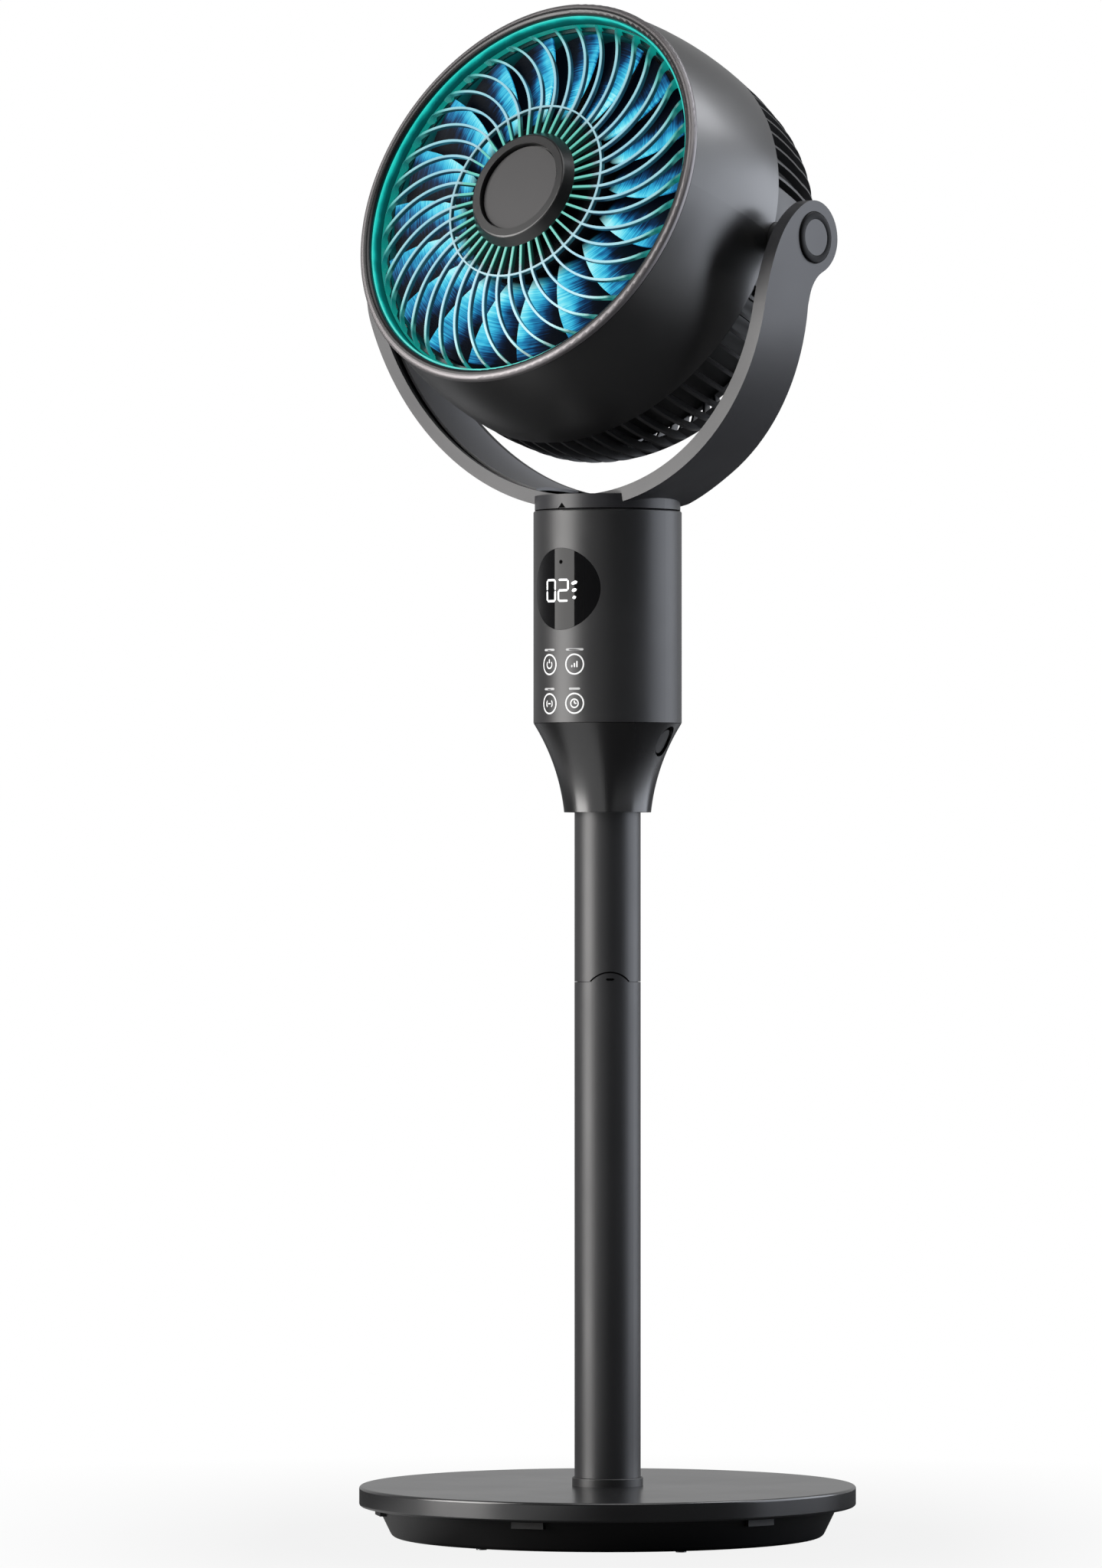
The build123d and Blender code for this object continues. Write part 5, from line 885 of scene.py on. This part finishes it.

# %% [markdown]
# ## Stage
# The fan stands on a plain pale floor in front of white. Black plastic shows its shape only by what it
# mirrors, so a studio lays out what the plastic sees. Cards could be modelled round the fan, but the floor's
# own material can do it. A dark strip runs under the fan towards the camera, with pale cards on both sides.
# Mirror rays meet a dark sheet that reaches further out, which keeps the underside of the drum and the yoke
# dark, and a white card in front on the left, which draws an edge of light up the stand. Camera rays see
# white, apart from the fan's own shadow and a faint painted shade where the dark strip shows near the fan.

# %% Floor
FLOOR_SIZE = 30.0
VIEW_AZIMUTH = radians(38.7)
camera_right = Vector((cos(VIEW_AZIMUTH), sin(VIEW_AZIMUTH), 0))
toward_camera = Vector((sin(VIEW_AZIMUTH), -cos(VIEW_AZIMUTH), 0))
SCUFFS_PER_M = 3.0
CARD_NEAR, CARD_FAR = 0.2, 0.5
SHEET_NEAR, SHEET_FAR = 0.8, 1.8
clear_selection()
bpy.ops.mesh.primitive_plane_add(size=FLOOR_SIZE, location=(0, 0, 0))
floor = bpy.context.object
floor.name = "studio_floor"
floor_paint, tree, place = new_material("pale_studio_floor")
rays = put(tree, "LightPath").node.outputs
scuff = put(tree, "TexNoise", Vector=place, Scale=SCUFFS_PER_M, Detail=2.0)
sideways = put(tree, "VectorMath", {"operation": "DOT_PRODUCT"}, "Value", i0=place, i1=camera_right)
reach = put(tree, "VectorMath", {"operation": "LENGTH"}, "Value", i0=place)
aside = put(tree, "Math", {"operation": "ABSOLUTE"}, i0=sideways)
beside = put(tree, "MapRange", Value=aside, From_Min=CARD_NEAR, From_Max=CARD_FAR)
off_sheet = put(tree, "MapRange", Value=reach, From_Min=SHEET_NEAR, From_Max=SHEET_FAR)
plain_ray = put(tree, "Math", {"operation": "SUBTRACT"}, i0=1.0, i1=rays["Is Glossy Ray"])
off_sheet = put(tree, "Math", {"operation": "MAXIMUM"}, i0=off_sheet, i1=plain_ray)
pale = put(tree, "Math", {"operation": "MULTIPLY"}, i0=beside, i1=off_sheet)
card = put(tree, "Mix", COLOURS, MIXED, i0=scuff, i6=linear("#ececec"), i7=linear("#f6f6f6"))
floor_tint = put(tree, "Mix", COLOURS, MIXED, i0=pale, i6=linear("#484848"), i7=card)
matt = put(tree, "BsdfPrincipled", Base_Color=floor_tint, Roughness=0.9, Specular_IOR_Level=0.0)
print("floor", FLOOR_SIZE, "m wide, cards from", CARD_NEAR, "m")

# %% White floor for the camera
SHADOW_NEAR, SHADOW_FAR = 0.2, 0.75
SHADOW_WHITE = 0.88
WHITE_CARD_EDGE, WHITE_CARD_FULL = -0.1, -0.2
WHITE_CARD_BACK, WHITE_CARD_FRONT = -0.15, 0.05
forward = put(tree, "VectorMath", {"operation": "DOT_PRODUCT"}, "Value", i0=place, i1=toward_camera)
leftward = put(tree, "MapRange", Value=sideways, From_Min=WHITE_CARD_FULL, From_Max=WHITE_CARD_EDGE,
               To_Min=1.0, To_Max=0.0)
in_front = put(tree, "MapRange", Value=forward, From_Min=WHITE_CARD_BACK, From_Max=WHITE_CARD_FRONT)
white_card = put(tree, "Math", {"operation": "MULTIPLY"}, i0=leftward, i1=in_front)
mirrored = put(tree, "Math", {"operation": "MULTIPLY"}, i0=rays["Is Glossy Ray"], i1=white_card)
seen = put(tree, "Math", {"operation": "MAXIMUM"}, i0=rays["Is Camera Ray"], i1=rays["Is Transmission Ray"])
seen = put(tree, "Math", {"operation": "MAXIMUM"}, i0=seen, i1=mirrored)
# Near the fan, camera rays keep a share of the lit floor: the fan's real shadow, plus faint painted shade on
# the dark strip.
fading = put(tree, "MapRange", Value=reach, From_Min=SHADOW_NEAR, From_Max=SHADOW_FAR,
             To_Min=SHADOW_WHITE, To_Max=1.0)
whiteness = put(tree, "Math", {"operation": "MULTIPLY"}, i0=seen, i1=fading)
white = put(tree, "Emission", Color=linear("#ffffff"), Strength=1.0)
put(tree, "OutputMaterial", Surface=put(tree, "MixShader", i0=whiteness, i1=matt, i2=white))
floor.data.materials.append(floor_paint)
print("shadow kept within", SHADOW_FAR, "m of the fan")

# %% [markdown]
# ## Camera
# The photograph was taken from far away, almost level, a little to the fan's right. The view could be found
# by eye, but the picture's own perspective gives it: the base gives the scale, its ellipse gives the
# camera's height, and a shift of the lens puts the fan in its place without tilting the camera.

# %% Camera
CAMERA_DISTANCE = 5.0886
CAMERA_HEIGHT = 0.395
PHOTO_W, PHOTO_H = 1439, 2048
FOCAL_PX = 11000.0
AXIS_X, AXIS_Y = 793.4, 1155.0
SENSOR = 36.0
CLIP_END = 60
camera_data = bpy.data.cameras.new("studio_camera")
camera = bpy.data.objects.new("studio_camera", camera_data)
bpy.context.scene.collection.objects.link(camera)
camera.location = toward_camera * CAMERA_DISTANCE + Vector((0, 0, CAMERA_HEIGHT))
camera.rotation_euler = (pi / 2, 0, VIEW_AZIMUTH)
camera_data.sensor_fit = "VERTICAL"
camera_data.sensor_height = camera_data.sensor_width = SENSOR
camera_data.lens = FOCAL_PX / PHOTO_H * SENSOR
camera_data.shift_x = -(AXIS_X - PHOTO_W / 2) / PHOTO_H
camera_data.shift_y = (AXIS_Y - PHOTO_H / 2) / PHOTO_H
camera_data.clip_end = CLIP_END
bpy.context.scene.camera = camera
print("lens", round(camera_data.lens), "mm at", CAMERA_DISTANCE, "m")

# %% [markdown]
# ## Light
# Small lamps would give hard dots on satin plastic, so all four are wide. The left one stands nearly square
# to the side and draws the highlight on each upright cylinder. The right one is cooler and stands further
# back: it lights the other edge and the yoke's flat face. A high one on the right lights the upper side of
# the drum, and one overhead lifts the base.

# %% Lamps
AIM_TOP = 0.6
# Angle from the camera, distance and height in metres, size, power in watts, colour.
LAMPS = {
    "left_strip": (-71, 1.6, 0.75, (1.05, 1.9), 54, "#fdfbf9"),
    "right_soft": (98, 1.8, 0.75, (1.9, 1.6), 32, "#e9eef8"),
    "high_soft": (96, 1.2, 2.0, (1.0, 0.9), 17, "#f4f6fb"),
    "top_soft": (10, 0.9, 2.6, (1.6, 1.6), 20, "#ffffff"),
}


def wide_lamp(name, angle_deg, distance, height, size, power, colour):
    """Area lamp at an angle from the camera's side, counted to the right, aimed at the fan."""
    lamp_data = bpy.data.lights.new(name, "AREA")
    lamp_data.shape = "RECTANGLE"
    lamp_data.size, lamp_data.size_y = size
    lamp_data.energy = power
    lamp_data.color = linear(colour)[:3]
    lamp = bpy.data.objects.new(name, lamp_data)
    bpy.context.scene.collection.objects.link(lamp)
    bearing = VIEW_AZIMUTH + radians(angle_deg)
    lamp.location = (distance * sin(bearing), -distance * cos(bearing), height)
    aim = Vector((0, 0, min(height, AIM_TOP))) - lamp.location
    lamp.rotation_euler = aim.to_track_quat("-Z", "Y").to_euler()


for name, settings in LAMPS.items():
    wide_lamp(name, *settings)
    print(name, "at", settings[1], "m,", settings[4], "W")

# %% [markdown]
# ## White all round
# The photograph's background is white. A white world would also light the fan from all sides and flatten it,
# so only camera rays see white. Other rays get a dim grey, and mirror rays a white that fades out from
# behind the fan to its sides, because a studio keeps the camera's side dark to draw the shape of black
# plastic.

# %% World
DIM_GREY = (0.06, 0.062, 0.066, 1.0)     # linear already: about 6% of white
BACK_EDGE, BACK_FULL = -0.1, 0.75
BACK_WHITE = 0.45
world = bpy.data.worlds.new("white_studio")
bpy.context.scene.world = world
world.use_nodes = True
tree = world.node_tree
tree.nodes.clear()
rays = put(tree, "LightPath").node.outputs
look = put(tree, "TexCoord", out="Generated")
behind = put(tree, "VectorMath", {"operation": "DOT_PRODUCT"}, "Value", i0=look, i1=-toward_camera)
back = put(tree, "MapRange", Value=behind, From_Min=BACK_EDGE, From_Max=BACK_FULL, To_Max=BACK_WHITE)
mirrored = put(tree, "Math", {"operation": "MULTIPLY"}, i0=rays["Is Glossy Ray"], i1=back)
seen = put(tree, "Math", {"operation": "MAXIMUM"}, i0=rays["Is Camera Ray"], i1=rays["Is Transmission Ray"])
seen = put(tree, "Math", {"operation": "MAXIMUM"}, i0=seen, i1=mirrored)
sky = put(tree, "Mix", COLOURS, MIXED, i0=seen, i6=DIM_GREY, i7=linear("#ffffff"))
put(tree, "OutputWorld", Surface=put(tree, "Background", Color=sky, Strength=1.0))
bpy.context.scene.view_settings.view_transform = "Standard"
print("mirror rays see up to", BACK_WHITE, "of white behind the fan")

# %% [markdown]
# ## Finish
# The script ends with nothing selected.

# %% Finish
clear_selection()
